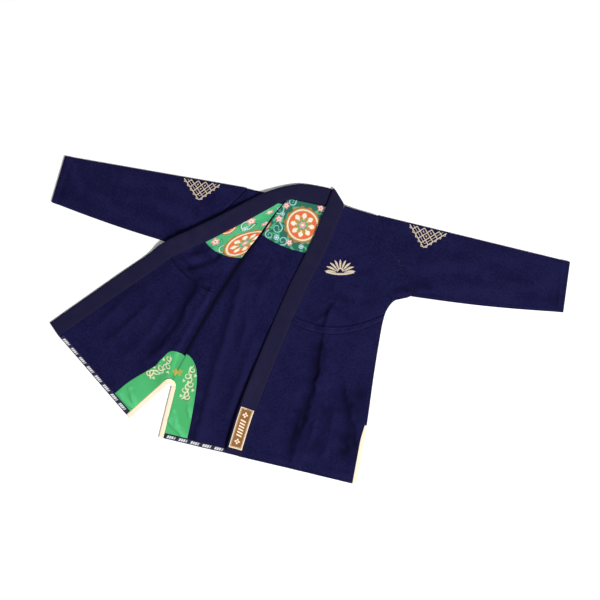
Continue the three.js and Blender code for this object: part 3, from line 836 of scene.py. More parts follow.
# Painted shade colour, which sharp creases and the darkest folds take.
CREASE_SHADE_NAVY = (0.0008, 0.0006, 0.008)
LAPEL_NAVY = (0.0078, 0.0067, 0.0275)
CREAM = (0.87, 0.74, 0.55)
GREEN = (0.048, 0.375, 0.112)


def pearl_grains(finish, pitch=0.0024):
    """Height of the weave's grains, from 0 to 1."""
    u, v = finish.pattern()
    row = (v / pitch).floor()
    shift = (row * 0.5).fraction()
    grain = ((u / pitch + shift) * math.pi).sin().absolute()
    course = ((v / pitch) * math.pi).sin().absolute()
    return grain * course


def pearl_cloth(name, colour, pale, deep, wear_and_painted_shade=0.35):
    finish = Finish(name, Roughness=0.9, Specular_IOR_Level=0.1)
    grains = pearl_grains(finish)
    blotch = finish.noise(11, 4, 0.65)
    fleck = finish.noise(130, 3, 0.7)
    speck = finish.noise(420, 2, 0.7)
    thread = finish.noise(210, 2, 0.6)
    painted_shading = finish.painted_shading()
    # Random dye patches, together with the painted shading: shade in hollows, light on ridges.
    depth = (painted_shading - 0.5) * 1.3 + (blotch - 0.5) * 1.5 + (fleck - 0.5) * 2.2 + (thread - 0.5) * 3.0 + 0.5
    base = finish.tint(depth.at_least(0).at_most(1), deep, pale)
    base = finish.tint(0.3, base, colour)
    rubbed = (grains * wear_and_painted_shade + (speck - 0.5) * 0.9).at_least(0).at_most(1)
    base = finish.tint(rubbed * 0.6, base, pale)
    # Painted shade in creases and beside folds, below 0, goes to the crease-shade navy.
    painted_deep_shade = (0 - painted_shading).at_least(0).at_most(1)
    finish.set("Base Color", finish.tint(painted_deep_shade, base, CREASE_SHADE_NAVY))
    finish.set("Roughness", 0.94 - grains * 0.08)
    finish.bump(grains + speck * 0.35 + fleck * 0.8, 0.7, 0.0008)
    return finish.material


def lapel_cloth(name):
    finish = Finish(name, Roughness=0.85, Specular_IOR_Level=0.12)
    u, v = finish.pattern()
    grid = 0.006
    lines_u = (u / grid).fraction().above(0.82)
    lines_v = (v / grid).fraction().above(0.82)
    lines = (lines_u + lines_v).at_most(1)
    thread = ((u + v) * (math.pi / 0.0009)).sin() * 0.5 + 0.5
    speck = finish.noise(380, 2, 0.7)
    patchy = finish.noise(26, 3, 0.6)
    # Random patches, together with the painted shading of hollows and ridges.
    depth = (finish.painted_shading() - 0.5) * 0.8 + (patchy - 0.5) * 1.2 + (speck - 0.5) * 0.8 + 0.5
    base = finish.tint(depth.at_least(0).at_most(1), NAVY_DEEP, (0.0115, 0.0100, 0.036))
    base = finish.tint(0.45, base, LAPEL_NAVY)
    finish.set("Base Color", finish.tint(lines * 0.22, base, (0.018, 0.016, 0.044)))
    finish.bump(thread * 0.4 + lines * 0.6 + speck * 0.4, 0.5, 0.0004)
    return finish.material


def plain_weave(name, colour, other, pitch=0.0009, roughness=0.8, painted=None):
    """A plain weave, in one colour or with a painted pattern."""
    finish = Finish(name, Roughness=roughness, Sheen_Weight=0.1, Specular_IOR_Level=0.3)
    u, v = finish.pattern()
    over = ((u * (math.pi / pitch)).sin() * (v * (math.pi / pitch)).sin()) * 0.5 + 0.5
    speck = finish.noise(260, 3, 0.6)
    dye = finish.painted(painted) if painted else colour
    shade = finish.tint((speck - 0.35).at_least(0) * 0.5, dye, other)
    finish.set("Base Color", shade)
    finish.bump(over + speck * 0.3, 0.4, 0.0003)
    return finish.material


pearl = pearl_cloth("pearl_weave", NAVY, NAVY_PALE, NAVY_DEEP)
pearl_inside = pearl_cloth("pearl_weave_wrong_side", NAVY, NAVY_PALE, NAVY_DEEP, wear_and_painted_shade=0.3)
lapel_finish = lapel_cloth("lapel_ripstop")
tape_cream = plain_weave("vent_tape_cream", CREAM, (0.7, 0.55, 0.36), pitch=0.0012)
hem_finish = plain_weave("hem_tape_woven", NAVY, (0.03, 0.03, 0.09), painted="paint")
patch_finish = plain_weave("vent_patch_print", GREEN, (0.04, 0.33, 0.12), painted="paint", roughness=0.72)
print_finish = plain_weave("yoke_print", GREEN, (0.02, 0.1, 0.08), painted="paint", roughness=0.6)
label_finish = plain_weave("label_weave", (0.3, 0.13, 0.03), (0.2, 0.08, 0.02), painted="paint")

# %% [markdown]
# ## The back
#
# The back is one wide panel, the first to be laid down. Its wrong side faces up and shows between the
# crease and the left lapel, with one long soft crease from the yoke to the hem.

# %% Back panel
back_rows = rows_between([0, VENT_TOP, CHEST_SIDE, *ARMHOLE], 8)[:, None]
back_share = np.linspace(-1, 1, COLUMNS)[None, :]


def back_height(x, y):
    """The middle of the back's wall, flat near its edges."""
    edge = np.minimum(1, (328 - np.abs(x)) / 60).clip(0)
    return CLOTH / 2 + (fold_height(BACK_FOLDS, x, y) + uneven(x, y, 0.35) + 0.3).clip(0) * edge


side_x, side_y = side(back_rows)
back_x = back_share * side_x
back_y = mix(back_rows, side_y, back_share**2)
back_z = back_height(back_x, back_y)
crease_x, crease_y = OPENED_BODY.columns["crease_x"], OPENED_BODY.columns["crease_y"]
beside_crease = np.maximum(back_x - np.interp(back_y, crease_y, crease_x), 0)
# Painted shadow on the back beside the roll of the crease.
shade = 0.8 * bell(beside_crease, 9) * smoothstep(back_y, 190, 300) * (1 - smoothstep(back_y, 620, 720))
back_grid = laid_grid(back_x, back_y, back_z, back_x, back_y)
back = sheet_mesh("back", [back_grid], pearl_inside, CLOTH, painted_deep_shade=shade)
sewn_in(back, "back_panel")
back_sheet = (back_x, back_y, back_z + CLOTH / 2)

# %% [markdown]
# ## Sleeves
#
# A sleeve is a tube pressed flat: its lower wall lies on the table, it folds along the shoulder, and
# the upper wall comes back over it to the underarm seam. The cuff is turned in by two fingers and
# stitched, so it is thicker and stands a little stiffer.

# %% Sleeves
CUFF = dict(top_x=825, top_y=825, low_x=838, low_y=674, hem=22)
TUBE_GAP = 1.4
ARM_ROWS = rows_between(ARMHOLE, 8)


def sleeve_place(row, share):
    from_x, from_y = side(row)
    high = (row - UNDERARM) / (SHOULDER - UNDERARM)
    bow = 6 * np.sin(np.pi * share) * (1 - high)
    x = mix(from_x + SEAM, mix(CUFF["low_x"], CUFF["top_x"], high), share)
    return x, mix(from_y, mix(CUFF["low_y"], CUFF["top_y"], high), share) - bow


def sleeve_grid(hand):
    share = np.linspace(0, 1, COLUMNS)[:, None]
    length = CUFF["top_x"] - SIDE.at(SHOULDER, "x")
    hem = smoothstep(share * length, length - CUFF["hem"] - 3, length - CUFF["hem"] + 1)
    half = (CLOTH + hem) / 2
    radius = half + TUBE_GAP / 2
    row = ARM_ROWS[None, :]
    x, y = sleeve_place(row, share)
    low = np.broadcast_to(half, x.shape)
    edge = smoothstep(row, UNDERARM, UNDERARM + 25) * (1 - smoothstep(row, SHOULDER - 25, SHOULDER))
    rumpled = (fold_height(SLEEVE_FOLDS, x, y) + uneven(x * hand, y, 0.8) + 0.8).clip(0)
    seam_x = SIDE.at(row, "x") + SEAM
    high = low + 2 * radius + rumpled * edge * (1 - smoothstep(x, CUFF["top_x"] - 30, CUFF["top_x"]))
    high = high + 0.5 * bell(x - seam_x, 9) * edge
    angles = np.radians(np.linspace(-75, 75, 7))[None, :]
    top_y = y[:, -1:] + radius * np.cos(angles)
    turn_z = half + radius + radius * np.sin(angles)
    low_y = y[:, :1] - radius * np.cos(angles)
    shape = turn_z.shape
    high_x, low_x = np.broadcast_to(x[:, -1:], shape), np.broadcast_to(x[:, :1], shape)
    ring_x = np.hstack([x, high_x, x[:, ::-1], low_x, x[:, :1]])
    ring_y = np.hstack([y, top_y, y[:, ::-1], low_y, y[:, :1]])
    ring_z = np.hstack([low, turn_z, high[:, ::-1], turn_z[:, ::-1], low[:, :1]])
    upper = (x, y, high + half)
    if hand < 0:
        ring_x, ring_y, ring_z = (v[::-1] for v in (-ring_x, ring_y, ring_z))
        upper = (-x, y, high + half)
    around = run_lengths(0 * ring_x, ring_y, ring_z, 1)
    # Painted shade beside the underarm fold and two folds of the sleeve.
    depth = fold_height(SLEEVE_SHADE, np.abs(ring_x), ring_y).clip(0, 0.5)
    shade = depth * (0.5 + rumple(ring_x, ring_y, 19))
    return laid_grid(ring_x, ring_y, ring_z, ring_x, around), upper, shade


sleeve_tops = {}
for hand, name in ((1, "sleeve_left"), (-1, "sleeve_right")):
    grid, sleeve_tops[name], shade = sleeve_grid(hand)
    made = sheet_mesh(name + "_cloth", [grid], pearl, CLOTH, painted_deep_shade=shade)
    sewn_in(made, name)

# %% [markdown]
# ## Lining, tapes and facings on the back
#
# The yoke lining hangs from the back neck in a shallow bowl. The vent is bound with cream tape and
# faced with green, and the hem carries a woven tape.


# %% A painter for printed cloth
class Paint:
    """Colours for places on a cloth, laid on like a brush, one shape over another."""

    def __init__(self, x, y, ground):
        self.x, self.y = x, y
        self.colour = np.broadcast_to(np.array(ground, float), (*x.shape, 3)).copy()

    def lay(self, mask, colour):
        mask = np.clip(mask, 0, 1)[..., None]
        self.colour = mix(self.colour, np.array(colour, float), mask)
        return self

    def around(self, cx, cy):
        dx, dy = self.x - cx, self.y - cy
        return np.hypot(dx, dy), np.arctan2(dy, dx)

    def disc(self, cx, cy, radius, colour, soft=0.8):
        distance, _ = self.around(cx, cy)
        return self.lay((radius - distance) / soft + 0.5, colour)

    def ring(self, cx, cy, radius, width, colour, soft=0.8):
        distance, _ = self.around(cx, cy)
        return self.lay((width / 2 - np.abs(distance - radius)) / soft + 0.5, colour)

    def petals(self, cx, cy, radius, count, colour, turn=0.0, depth=0.35, soft=0.9):
        distance, angle = self.around(cx, cy)
        edge = radius * (1 - depth + depth * np.abs(np.cos((angle - turn) * count / 2)))
        return self.lay((edge - distance) / soft + 0.5, colour)

    def stroke(self, points, width, colour, taper=0.0, soft=0.8):
        path = smooth_path(points, 24)
        best = np.full(self.x.shape, 1e9)
        along = np.zeros(self.x.shape)
        for i, ((ax, ay), (bx, by)) in enumerate(zip(path[:-1], path[1:])):
            dx, dy = bx - ax, by - ay
            t = np.clip(((self.x - ax) * dx + (self.y - ay) * dy) / (dx * dx + dy * dy + 1e-9), 0, 1)
            away = np.hypot(self.x - ax - t * dx, self.y - ay - t * dy)
            near = away < best
            best = np.where(near, away, best)
            along = np.where(near, (i + t) / (len(path) - 1), along)
        half = width / 2 * (1 - taper * along)
        return self.lay((half - best) / soft + 0.5, colour)

    def onto(self, made):
        """Keeps the colours on the sheet, a colour at each point."""
        layer = made.data.color_attributes.new("paint", "FLOAT_COLOR", "POINT")
        rgba = np.ones((len(made.data.vertices), 4), np.float32)
        rgba[:, :3] = self.colour.reshape(-1, 3)[kept_places[made.name]]
        layer.data.foreach_set("color", rgba.ravel())


TEAL = (0.011, 0.12, 0.078)
LEAF = (0.05, 0.4, 0.16)
PINK = (0.8, 0.3, 0.32)
ROSE = (0.62, 0.12, 0.14)
SKY = (0.45, 0.72, 0.78)
GOLD = (0.5, 0.24, 0.05)
ORANGE = (0.75, 0.12, 0.03)
IVORY = (0.86, 0.78, 0.62)


def spiral(cx, cy, radius, turns, start, hand=1):
    t = np.linspace(0, 1, 9)
    angle = start + hand * turns * 2 * np.pi * t
    reach = radius * (1 - 0.8 * t)
    return [(cx + r * math.cos(a), cy + r * math.sin(a)) for r, a in zip(reach, angle)]


def curl(paint, cx, cy, radius, hand, body=(0.07, 0.40, 0.27), light=SKY):
    """A curling wave: a dark outline, a body and a fine light line inside it."""
    for shift, width, colour in ((0, 10.5, (0.004, 0.032, 0.026)), (0, 6.6, body), (0.8, 1.8, light)):
        paint.stroke(spiral(cx, cy + shift, radius, 1.3, 0.6 * cx, hand), width, colour, taper=0.75)


def medallion(paint, cx, cy, size):
    """A round ornament: a scalloped gold rim, an orange field and a star of petals."""
    paint.petals(cx, cy, size, 14, GOLD, depth=0.12)
    paint.ring(cx, cy, size * 0.93, size * 0.035, (0.16, 0.07, 0.015))
    paint.ring(cx, cy, size * 0.8, size * 0.07, IVORY)
    paint.disc(cx, cy, size * 0.72, ORANGE)
    paint.petals(cx, cy, size * 0.64, 8, IVORY, depth=0.45)
    paint.petals(cx, cy, size * 0.5, 8, GOLD, turn=math.pi / 8, depth=0.5)
    paint.disc(cx, cy, size * 0.26, LEAF)
    paint.petals(cx, cy, size * 0.2, 6, PINK, depth=0.4)
    paint.disc(cx, cy, size * 0.07, IVORY)


def blossom(paint, cx, cy, size, turn):
    paint.petals(cx, cy, size, 5, PINK, turn=turn, depth=0.45)
    paint.petals(cx, cy, size * 0.6, 5, IVORY, turn=turn, depth=0.5)
    paint.disc(cx, cy, size * 0.22, ROSE)


def leafage(paint, span_x, span_y, pitch, colour, vein, seed):
    """Feathery leaves strewn over the ground, each with a pale vein."""
    chance = np.random.default_rng(seed)
    for cx in np.arange(span_x[0], span_x[1], pitch):
        for cy in np.arange(span_y[0], span_y[1], pitch):
            x0, y0 = cx + chance.uniform(-6, 6), cy + chance.uniform(-6, 6)
            angle, bend = chance.uniform(0, 2 * np.pi), chance.uniform(-0.7, 0.7)
            steps = [(s * pitch, angle + bend * s) for s in (0, 0.5, 1)]
            ray = [(x0 + r * math.cos(a), y0 + r * math.sin(a)) for r, a in steps]
            paint.stroke(ray, 9.5, colour, taper=0.9)
            paint.stroke(ray, 1.6, vein, taper=0.5)


def rosette(paint, cx, cy, size):
    paint.petals(cx, cy, size, 7, SKY, depth=0.3)
    paint.ring(cx, cy, size * 0.5, size * 0.18, TEAL)
    paint.disc(cx, cy, size * 0.2, IVORY)


def strew(paint, curls, medallions, blossoms, rosettes, turn, **curl_colours):
    """Lays the motifs on, each kind over the one before it."""
    for place in curls:
        curl(paint, *place, **curl_colours)
    for place in medallions:
        medallion(paint, *place)
    for k, place in enumerate(blossoms):
        blossom(paint, *place, turn * k)
    for place in rosettes:
        rosette(paint, *place)


# %% Lining of the back
FINE = 1.7
LINING_HALF = 205


def over_back(x, y):
    """The middle of a tape or a lining that lies on the back."""
    return back_height(x, y) + CLOTH / 2 + SEWN_GAP + TAPE / 2


def lining_edge(x):
    """The lower edge of the back's lining, a shallow bowl."""
    return 684 + 62 * (x / LINING_HALF) ** 2


across = spaced(-LINING_HALF, LINING_HALF, FINE)[None, :]
y = mix(lining_edge(across), SHOULDER - 4, np.linspace(0, 1, 90)[:, None])
x = np.broadcast_to(across, y.shape)
z = over_back(x, y)
yoke_back = sheet_mesh("yoke_lining_of_back", [laid_grid(x, y, z, x, y)], print_finish, TAPE)
yoke_back_sheet = (x, y, z + TAPE / 2)
paint = Paint(x, y, TEAL)
leafage(paint, (-136, 70), (688, 842), 26, LEAF, (0.1, 0.42, 0.3), 5)
BACK_CURLS = [(-98, 804, 19, 1), (-92, 742, 19, -1), (-66, 706, 16, 1), (54, 716, 18, -1)]
BACK_CURLS += [(-62, 834, 14, -1), (56, 826, 16, 1), (-118, 778, 13, -1), (-112, 716, 15, 1)]
BACK_CURLS += [(-134, 828, 16, 1), (150, 730, 16, -1)]
BACK_BLOSSOMS = [(-78, 818, 11), (-92, 772, 12), (-44, 705, 11), (32, 832, 12), (38, 708, 11)]
BACK_BLOSSOMS += [(-130, 806, 12), (134, 822, 12)]
strew(
    paint,
    BACK_CURLS,
    medallions=[(-14, 768, 60), (-142, 750, 28), (112, 766, 44)],
    blossoms=BACK_BLOSSOMS,
    rosettes=[(-88, 712, 9), (-4, 700, 8), (58, 792, 9), (-84, 790, 7), (-104, 830, 8)],
    turn=0.5,
)
paint.onto(yoke_back)
sewn_in(yoke_back, "yoke_lining_back")


FACING_FOLDS = [
    Fold(2.2, 14, 4, (-316, 74), (-292, 50), (-266, 32), (-236, 10)),
    Fold(1.6, 4, 11, (-300, 104), (-284, 72), (-262, 44), wave=0.6),
    Fold(1.2, 10, 5, (-262, 160), (-250, 120), (-244, 76), wave=0.6),
]
FRONT_FACING_FOLDS = [
    Fold(2.2, 13, 4, (-494, 118), (-468, 96), (-440, 80), (-410, 66)),
    Fold(1.5, 10, 5, (-458, 146), (-442, 112), (-420, 84), wave=0.6),
]
# Painted light for the facing's fold tops, and painted shade beside the folds and in the side crease.
FACING_PAINTED_LIGHT = (0.085, 0.52, 0.2)
FACING_DYE = (0.07, 0.46, 0.17)
FACING_PAINTED_SHADE = (0.03, 0.29, 0.085)
FACING_CREASE_SHADE = (0.009, 0.085, 0.026)


def green_with_painted_light_and_shade(paint, folds, x, y, from_crease, row):
    """The facing's green, in random patches of dye, with painted light on each fold's top and painted shade
    beside it and in the side crease.
    """
    height = fold_height(folds, x, y)
    paint.lay(0.5 * rumple(x, y, 37), FACING_DYE)
    paint.lay(0.4 * height.clip(0, 1.6), FACING_PAINTED_LIGHT)
    beside = fold_height(folds, x + 5, y + 3) - height
    paint.lay(0.45 * beside.clip(0, 1.2), FACING_PAINTED_SHADE)
    paint.lay(0.85 * bell(from_crease, 4.5) * smoothstep(row, VENT_TOP + 2, VENT_TOP + 26), FACING_CREASE_SHADE)


def strip_on_back(name, rows, left, right, finish, step=4, folds=()):
    """A narrow piece on the back between two edges, each a function of the row."""
    row = rows[:, None]
    share = np.linspace(0, 1, max(2, int(abs(right(rows[0]) - left(rows[0])) / step) + 1))[None, :]
    x = mix(left(row), right(row), share)
    y = np.broadcast_to(row, x.shape)
    z = over_back(x, y) + fold_height(folds, x, y)
    made = sheet_mesh(name, [laid_grid(x, y, z, x, y)], finish, TAPE)
    return made, (x, y, z + TAPE / 2)


vent_rows = rows_between([0, VENT_TOP], 5)
right_vent_rows = rows_between([0, VENT_TOP - 16], 5)
tape_left, tape_left_sheet = strip_on_back(
    "tape_of_left_vent", vent_rows, lambda r: side(r)[0] - TAPE_WIDTH, lambda r: side(r)[0], tape_cream
)
sewn_in(tape_left, "vent_tape_back_left")
tape_right, tape_right_sheet = strip_on_back(
    "tape_of_right_vent_back",
    right_vent_rows,
    lambda r: -side(r)[0],
    lambda r: TAPE_WIDTH - side(r)[0],
    tape_cream,
)
sewn_in(tape_right, "vent_tape_back_right")

PATCH_INNER = TAPE_WIDTH + SEAM


def facing_edge(row):
    """The facing stops at the tape beside the vent, and above the vent it runs into the seam."""
    return PATCH_INNER * (1 - smoothstep(row, VENT_TOP - 22, VENT_TOP - 2))


patch_rows = rows_between([18, 235, 288], FINE)
facing_back, facing_back_sheet = strip_on_back(
    "vent_facing_of_back",
    patch_rows,
    lambda r: facing_edge(r) - side(r)[0],
    lambda r: FACING.at(r, "width") - side(r)[0],
    patch_finish,
    step=FINE,
    folds=FACING_FOLDS,
)

SCROLL = (0.66, 0.72, 0.46)
OLIVE = (0.12, 0.2, 0.05)
SPOT_GOLD = (0.38, 0.34, 0.05)


def scrollwork(paint, cx, cy, flip=1):
    """A scrolling vine that climbs beside the vent: pale curls with an olive shadow and small leaves."""
    stem = [(-10, -6), (8, 12), (-8, 36), (9, 58), (-6, 82), (4, 104)]
    curls = [(6, 4, 13, 2.4, 1), (-8, 24, 12, 0.4, -1), (9, 46, 13, 2.6, 1)]
    curls += [(-8, 70, 12, 0.5, -1), (5, 92, 11, 2.4, 1)]
    for shade, dx, width in ((OLIVE, 2.6, 5.6), (SCROLL, 0, 4.6)):
        paint.stroke([(cx + flip * (a + dx), cy + b - dx) for a, b in stem], width, shade, taper=0.4)
        for x0, y0, size, start, hand in curls:
            angle = start if flip > 0 else math.pi - start
            centre = (cx + flip * (x0 + dx), cy + y0 - dx)
            paint.stroke(spiral(*centre, size, 1.0, angle, hand * flip), width + 0.6, shade, taper=0.75)
    for x0, y0 in ((-16, 2), (18, 28), (-17, 52), (17, 76)):
        paint.petals(cx + flip * x0, cy + y0, 5.5, 3, SCROLL, depth=0.7)


x, y, z = facing_back_sheet
paint = Paint(x, y, GREEN)
green_with_painted_light_and_shade(paint, FACING_FOLDS, x, y, x - x[:, :1], y)
scrollwork(paint, -268, 146)
paint.petals(-306, 222, 12, 4, SPOT_GOLD, turn=0.4, depth=0.5)
paint.onto(facing_back)
sewn_in(facing_back, "vent_patch_back")

# %% Hem tape of the back
hem_end = SIDE.at(0, "x") - TAPE_WIDTH - SEAM - 0.5
HEM_ROWS = np.linspace(0.4, TAPE_WIDTH, 8)[:, None]
x, y = np.broadcast_arrays(spaced(-hem_end, hem_end, 2.2)[None, :], HEM_ROWS)
z = over_back(x, y)
hem_back = sheet_mesh("hem_tape_of_back", [laid_grid(x, y, z, x, y)], hem_finish, TAPE)
hem_back_sheet = (x, y, z + TAPE / 2)


def hem_marks(along, across, length, pitch=40.0):
    """Short slanted white bars in groups of four, the last one thinner."""
    paint = Paint(along, across, (0.012, 0.012, 0.04))
    for start in np.arange(14, length, pitch):
        for offset, width in ((0, 5.4), (7.4, 5.4), (14.8, 5.4), (22.2, 3.0)):
            centre = start + offset + (across - 8) * 0.35
            mask = np.minimum((width / 2 - np.abs(along - centre)) / 0.8, (4.2 - np.abs(across - 8)) / 0.8)
            paint.lay(mask + 0.5, (0.75, 0.75, 0.75))
    return paint


hem_marks(x + hem_end, y, 2 * hem_end).onto(hem_back)
sewn_in(hem_back, "hem_tape_back")

# %% [markdown]
# ## The left front
#
# The left front lies closed over the back. It is cut in two, joined across the chest by a felled seam
# that curves like a shallow bowl and stands up as a ridge a finger wide. Below it one long fold runs
# to the hem, steep on its inner side.

# %% Left front
below_front = Pile(back_sheet, yoke_back_sheet, hem_back_sheet, tape_left_sheet)
below_front = below_front.settled(reach=9, slope=0.3, soft=3)
FELL = 14
LOWER_KEYS = [0, VENT_TOP, CHEST_SIDE]
UPPER_KEYS = [CHEST_SIDE, CHEST_SIDE + FELL, UNDERARM, 697, 780, SHOULDER]


def shoulder_rise(y):
    return 4.8 * smoothstep(y, 700, NECK)


def front_height(row, x, y, seam_x):
    beside = bell(x - seam_x, 24)
    rim = smoothstep(row, -20, 30) * smoothstep(side(row)[0] - x, -4, 26)
    rim = mix(rim, 1, smoothstep(row, UNDERARM - 16, UNDERARM + 24) * (1 - smoothstep(row, 800, SHOULDER)))
    creased = 0.8 + 1.5 * (1 - smoothstep(y, 120, 420)) * smoothstep(x, 40, 100)
    folds = fold_height(LEFT_FRONT_FOLDS, x, y) + uneven(x, y, 1.0) * creased + 1.6
    folds = folds.clip(0) * (1 - beside) * (0.35 + 0.65 * rim)
    z = below_front.rest(x, y) + folds + (LAPEL / 2 - 1 + shoulder_rise(y)) * beside
    return z + felled(row) * (1 + 0.3 * np.sin(x / 5.5)) * (1 - 0.5 * beside)


def felled(row):
    """The felled chest seam: a raised strip with a stitched groove along each edge."""
    top = CHEST_SIDE + FELL
    strip = plateau(row, CHEST_SIDE, CHEST_SIDE + 2.5, top, top + 2.5)
    grooves = bell(row - CHEST_SIDE + 2, 2.8) + bell(row - CHEST_SIDE - FELL - 4, 2.8)
    return 2.1 * strip - 1.1 * grooves


def seam_rows(keys):
    """Rows 5 mm apart, and closer where the chest seam is."""
    rows = rows_between(keys, 5)
    near = np.arange(CHEST_SIDE - 9, CHEST_SIDE + FELL + 12, 1.6)
    near = near[(near > keys[0] + 0.8) & (near < keys[-1] - 0.8)]
    away = (rows < CHEST_SIDE - 10) | (rows > CHEST_SIDE + FELL + 12)
    far = rows[away | np.isin(rows, [keys[0], keys[-1]])]
    return np.unique(np.concatenate([near, far]))[:, None]


def left_front(name, node, keys, low_gap, high_gap):
    row = seam_rows(keys)
    u = np.linspace(1, 0, COLUMNS)[None, :]
    x, y, seam_x = front_place(row, u)
    y = y.copy()
    y[0] += low_gap
    y[-1] -= high_gap
    z = front_height(row, x, y, seam_x)
    # Painted shade beside the long folds, and in the groove of the chest seam.
    shade = painted_fold_shade(LEFT_FRONT_SHADE, x, y, 0.55, 0.45, 1.1)
    shade = np.maximum(shade, 0.5 * bell(row - CHEST_SIDE + 1, 2.5) * rumple(x, y, 31))
    made = sheet_mesh(name, [laid_grid(x, y, z, x, y)], pearl, CLOTH, painted_deep_shade=shade)
    sewn_in(made, node)
    return x, y, z + CLOTH / 2


left_front("left_front_below", "front_left_lower", LOWER_KEYS, 0, SEAM / 2)
upper_left_sheet = left_front("left_front_above", "front_left_upper", UPPER_KEYS, SEAM / 2, 0)

# %% [markdown]
# ## The right front
#
# The right front starts as the left one does, from the side seam. At the crease it turns over and
# lies wrong side up, across the sleeve and down to the table. It is one sheet through the turn, so
# the crease is a real roll of cloth.

# %% Right front
CREASE_RADIUS, CREASE_RADIUS_TOP, CREASE_ROLL, LAPEL_LIFT = 4.0, 1.5, 30, 9
CREASE_OUT = (0.935, -0.354)
sheets_below = (back_sheet, yoke_back_sheet, facing_back_sheet, tape_right_sheet)
below_base = Pile(*sheets_below).settled(reach=6, slope=0.3, soft=2)


def base_places(row):
    """The strip that stays on the back, from the side seam to the crease."""
    share = np.linspace(0, 1, 20)[None, :]
    from_x, from_y = side(row)
    to_x, to_y, _, _ = opened_place(row, 0 * row)
    below = (row - VENT_TOP) / (CHEST_SIDE - VENT_TOP)
    sag = np.where(row < CHEST_SIDE, below, (SHOULDER - row) / 318)
    y = mix(from_y, to_y, share) - 8 * sag * np.sin(np.pi * share)
    x = mix(-from_x, to_x, share)
    return x, y, below_base.rest(x, y)


all_base = base_places(rows_between([VENT_TOP, CHEST_SIDE, SHOULDER], 5)[:, None])
base_sheet = (all_base[0], all_base[1], all_base[2] + CLOTH / 2)
below_flap = Pile(*sheets_below, sleeve_tops["sleeve_right"], base_sheet)
below_flap = below_flap.settled(reach=15, slope=0.22, soft=5)


def lapel_lift(row):
    return LAPEL_LIFT * np.sin(np.pi * np.clip((row - 430) / 415, 0, 1)) ** 1.2


def flap_height(row, share):
    """Places in the middle of the turned-over front, which rolls over the strip below at the crease."""
    x, y, from_crease, from_seam = opened_place(row, share)
    beside = bell(from_seam, 24) * (1 - bell(from_crease, 16))
    rim = smoothstep(row, 0, 60) * smoothstep(from_crease, 0, 26) * (1 - smoothstep(row, 760, SHOULDER))
    float_up = 6.0 * smoothstep(row, 120, 300) * (1 - smoothstep(row, 600, 720)) + 1.2
    folds = fold_height(OPENED_FOLDS, x, y) + uneven(x, y, 1.0) + float_up
    raised = lapel_lift(row) * share**1.6 + (LAPEL / 2 - 1) * beside
    z = below_flap.rest(x, y) + raised + folds.clip(0) * (1 - beside) * (0.15 + 0.85 * rim)
    z = z - 1.5 * bell(row - CHEST_SIDE, 3.4) * (1 - beside) * smoothstep(from_crease, 4, 20)
    z = z + 0.8 * bell(row - CHEST_SIDE - 9, 5) * (1 + 0.5 * np.sin(from_crease / 6)) * rim
    _, _, base_z = base_places(np.maximum(row, VENT_TOP))
    radius = mix(CREASE_RADIUS, CREASE_RADIUS_TOP, smoothstep(row, 700, SHOULDER))
    radius = radius * mix(0.4, 1, smoothstep(row, VENT_TOP, VENT_TOP + 120))
    rolled = np.maximum(z, base_z[:, -1:] + 2 * radius)
    return x, y, mix(z, rolled, bell(from_crease, CREASE_ROLL) * smoothstep(row, VENT_TOP - 90, VENT_TOP))


def right_front(name, node, keys, low_gap, high_gap):
    row = seam_rows(keys)
    share = np.linspace(0, 1, COLUMNS)[None, :] ** 1.15
    body = row[row[:, 0] >= VENT_TOP - 1e-6]
    skirt = row[row[:, 0] <= VENT_TOP + 1e-6]
    fx, fy, fz = flap_height(row, share)
    bx, by, bz = base_places(body)
    fy[-1] -= high_gap
    by[-1] -= high_gap
    if len(skirt) < 2:
        fy[0] += low_gap
        by[0] += low_gap
    own = fz[-len(body) :, :1]
    radius = (own - bz[:, -1:]) / 2
    angle = np.radians(np.linspace(-72, 72, 9))[None, :]
    ax = bx[:, -1:] + CREASE_OUT[0] * radius * np.cos(angle)
    ay = by[:, -1:] + CREASE_OUT[1] * radius * np.cos(angle)
    az = bz[:, -1:] + radius + radius * np.sin(angle)
    turned = (slice(-len(body), None), slice(None))
    parts = ((bx, ax, fx[turned]), (by, ay, fy[turned]), (bz, az, fz[turned]))
    x, y, z = (np.hstack(v) for v in parts)
    along = run_lengths(x, y, z, 1)
    grids = [laid_grid(x, y, z, along, body)]
    if len(skirt) > 1:
        sx, sy, sz = (v[: len(skirt)] for v in (fx, fy, fz))
        start = along[0, bx.shape[1] + ax.shape[1]]
        grids.append(laid_grid(sx, sy, sz, start + run_lengths(sx, sy, sz, 1), skirt))
    # Painted shade: darkest on the roll of the crease and fading onto the flap, beside the flap's folds, and
    # in the groove of the chest seam.
    crease = along[:, bx.shape[1] + 9 : bx.shape[1] + 10]
    reach = 7 - 3.5 * smoothstep(np.abs(body - 560), 40, 260)
    painted_deep_shade = bell(np.maximum(along - crease, 0), reach) * smoothstep(along, crease - 40, crease - 25)
    painted_deep_shade = np.maximum(painted_deep_shade, painted_fold_shade(OPENED_SHADE, x, y, 0.4, 0.5, 1.0))
    groove = bell(body - CHEST_SIDE, 3.5) * smoothstep(along, crease + 8, crease + 24)
    painted_deep_shade = np.maximum(painted_deep_shade, groove * (0.45 + 0.5 * rumple(x, y, 31)))
    made = sheet_mesh(name, grids, pearl_inside, CLOTH, painted_deep_shade=painted_deep_shade)
    sewn_in(made, node)
    return made


front_below = right_front("right_front_below", "front_right_lower", LOWER_KEYS, 0, SEAM / 2)
front_above = right_front("right_front_above", "front_right_upper", UPPER_KEYS, SEAM / 2, 0)

# %% [markdown]
# ## The lapel and the collar
#
# One long band of ripstop, wrapped round a firm core and stitched along its length, edges the whole
# opening. It runs up the right front, behind the neck, folds over at the left shoulder and runs down
# the left front. A band is drawn by its middle surface: at each station it has a place on the seam
# and a place on the free edge. The section is a flat lens with rounded edges and shallow channels.

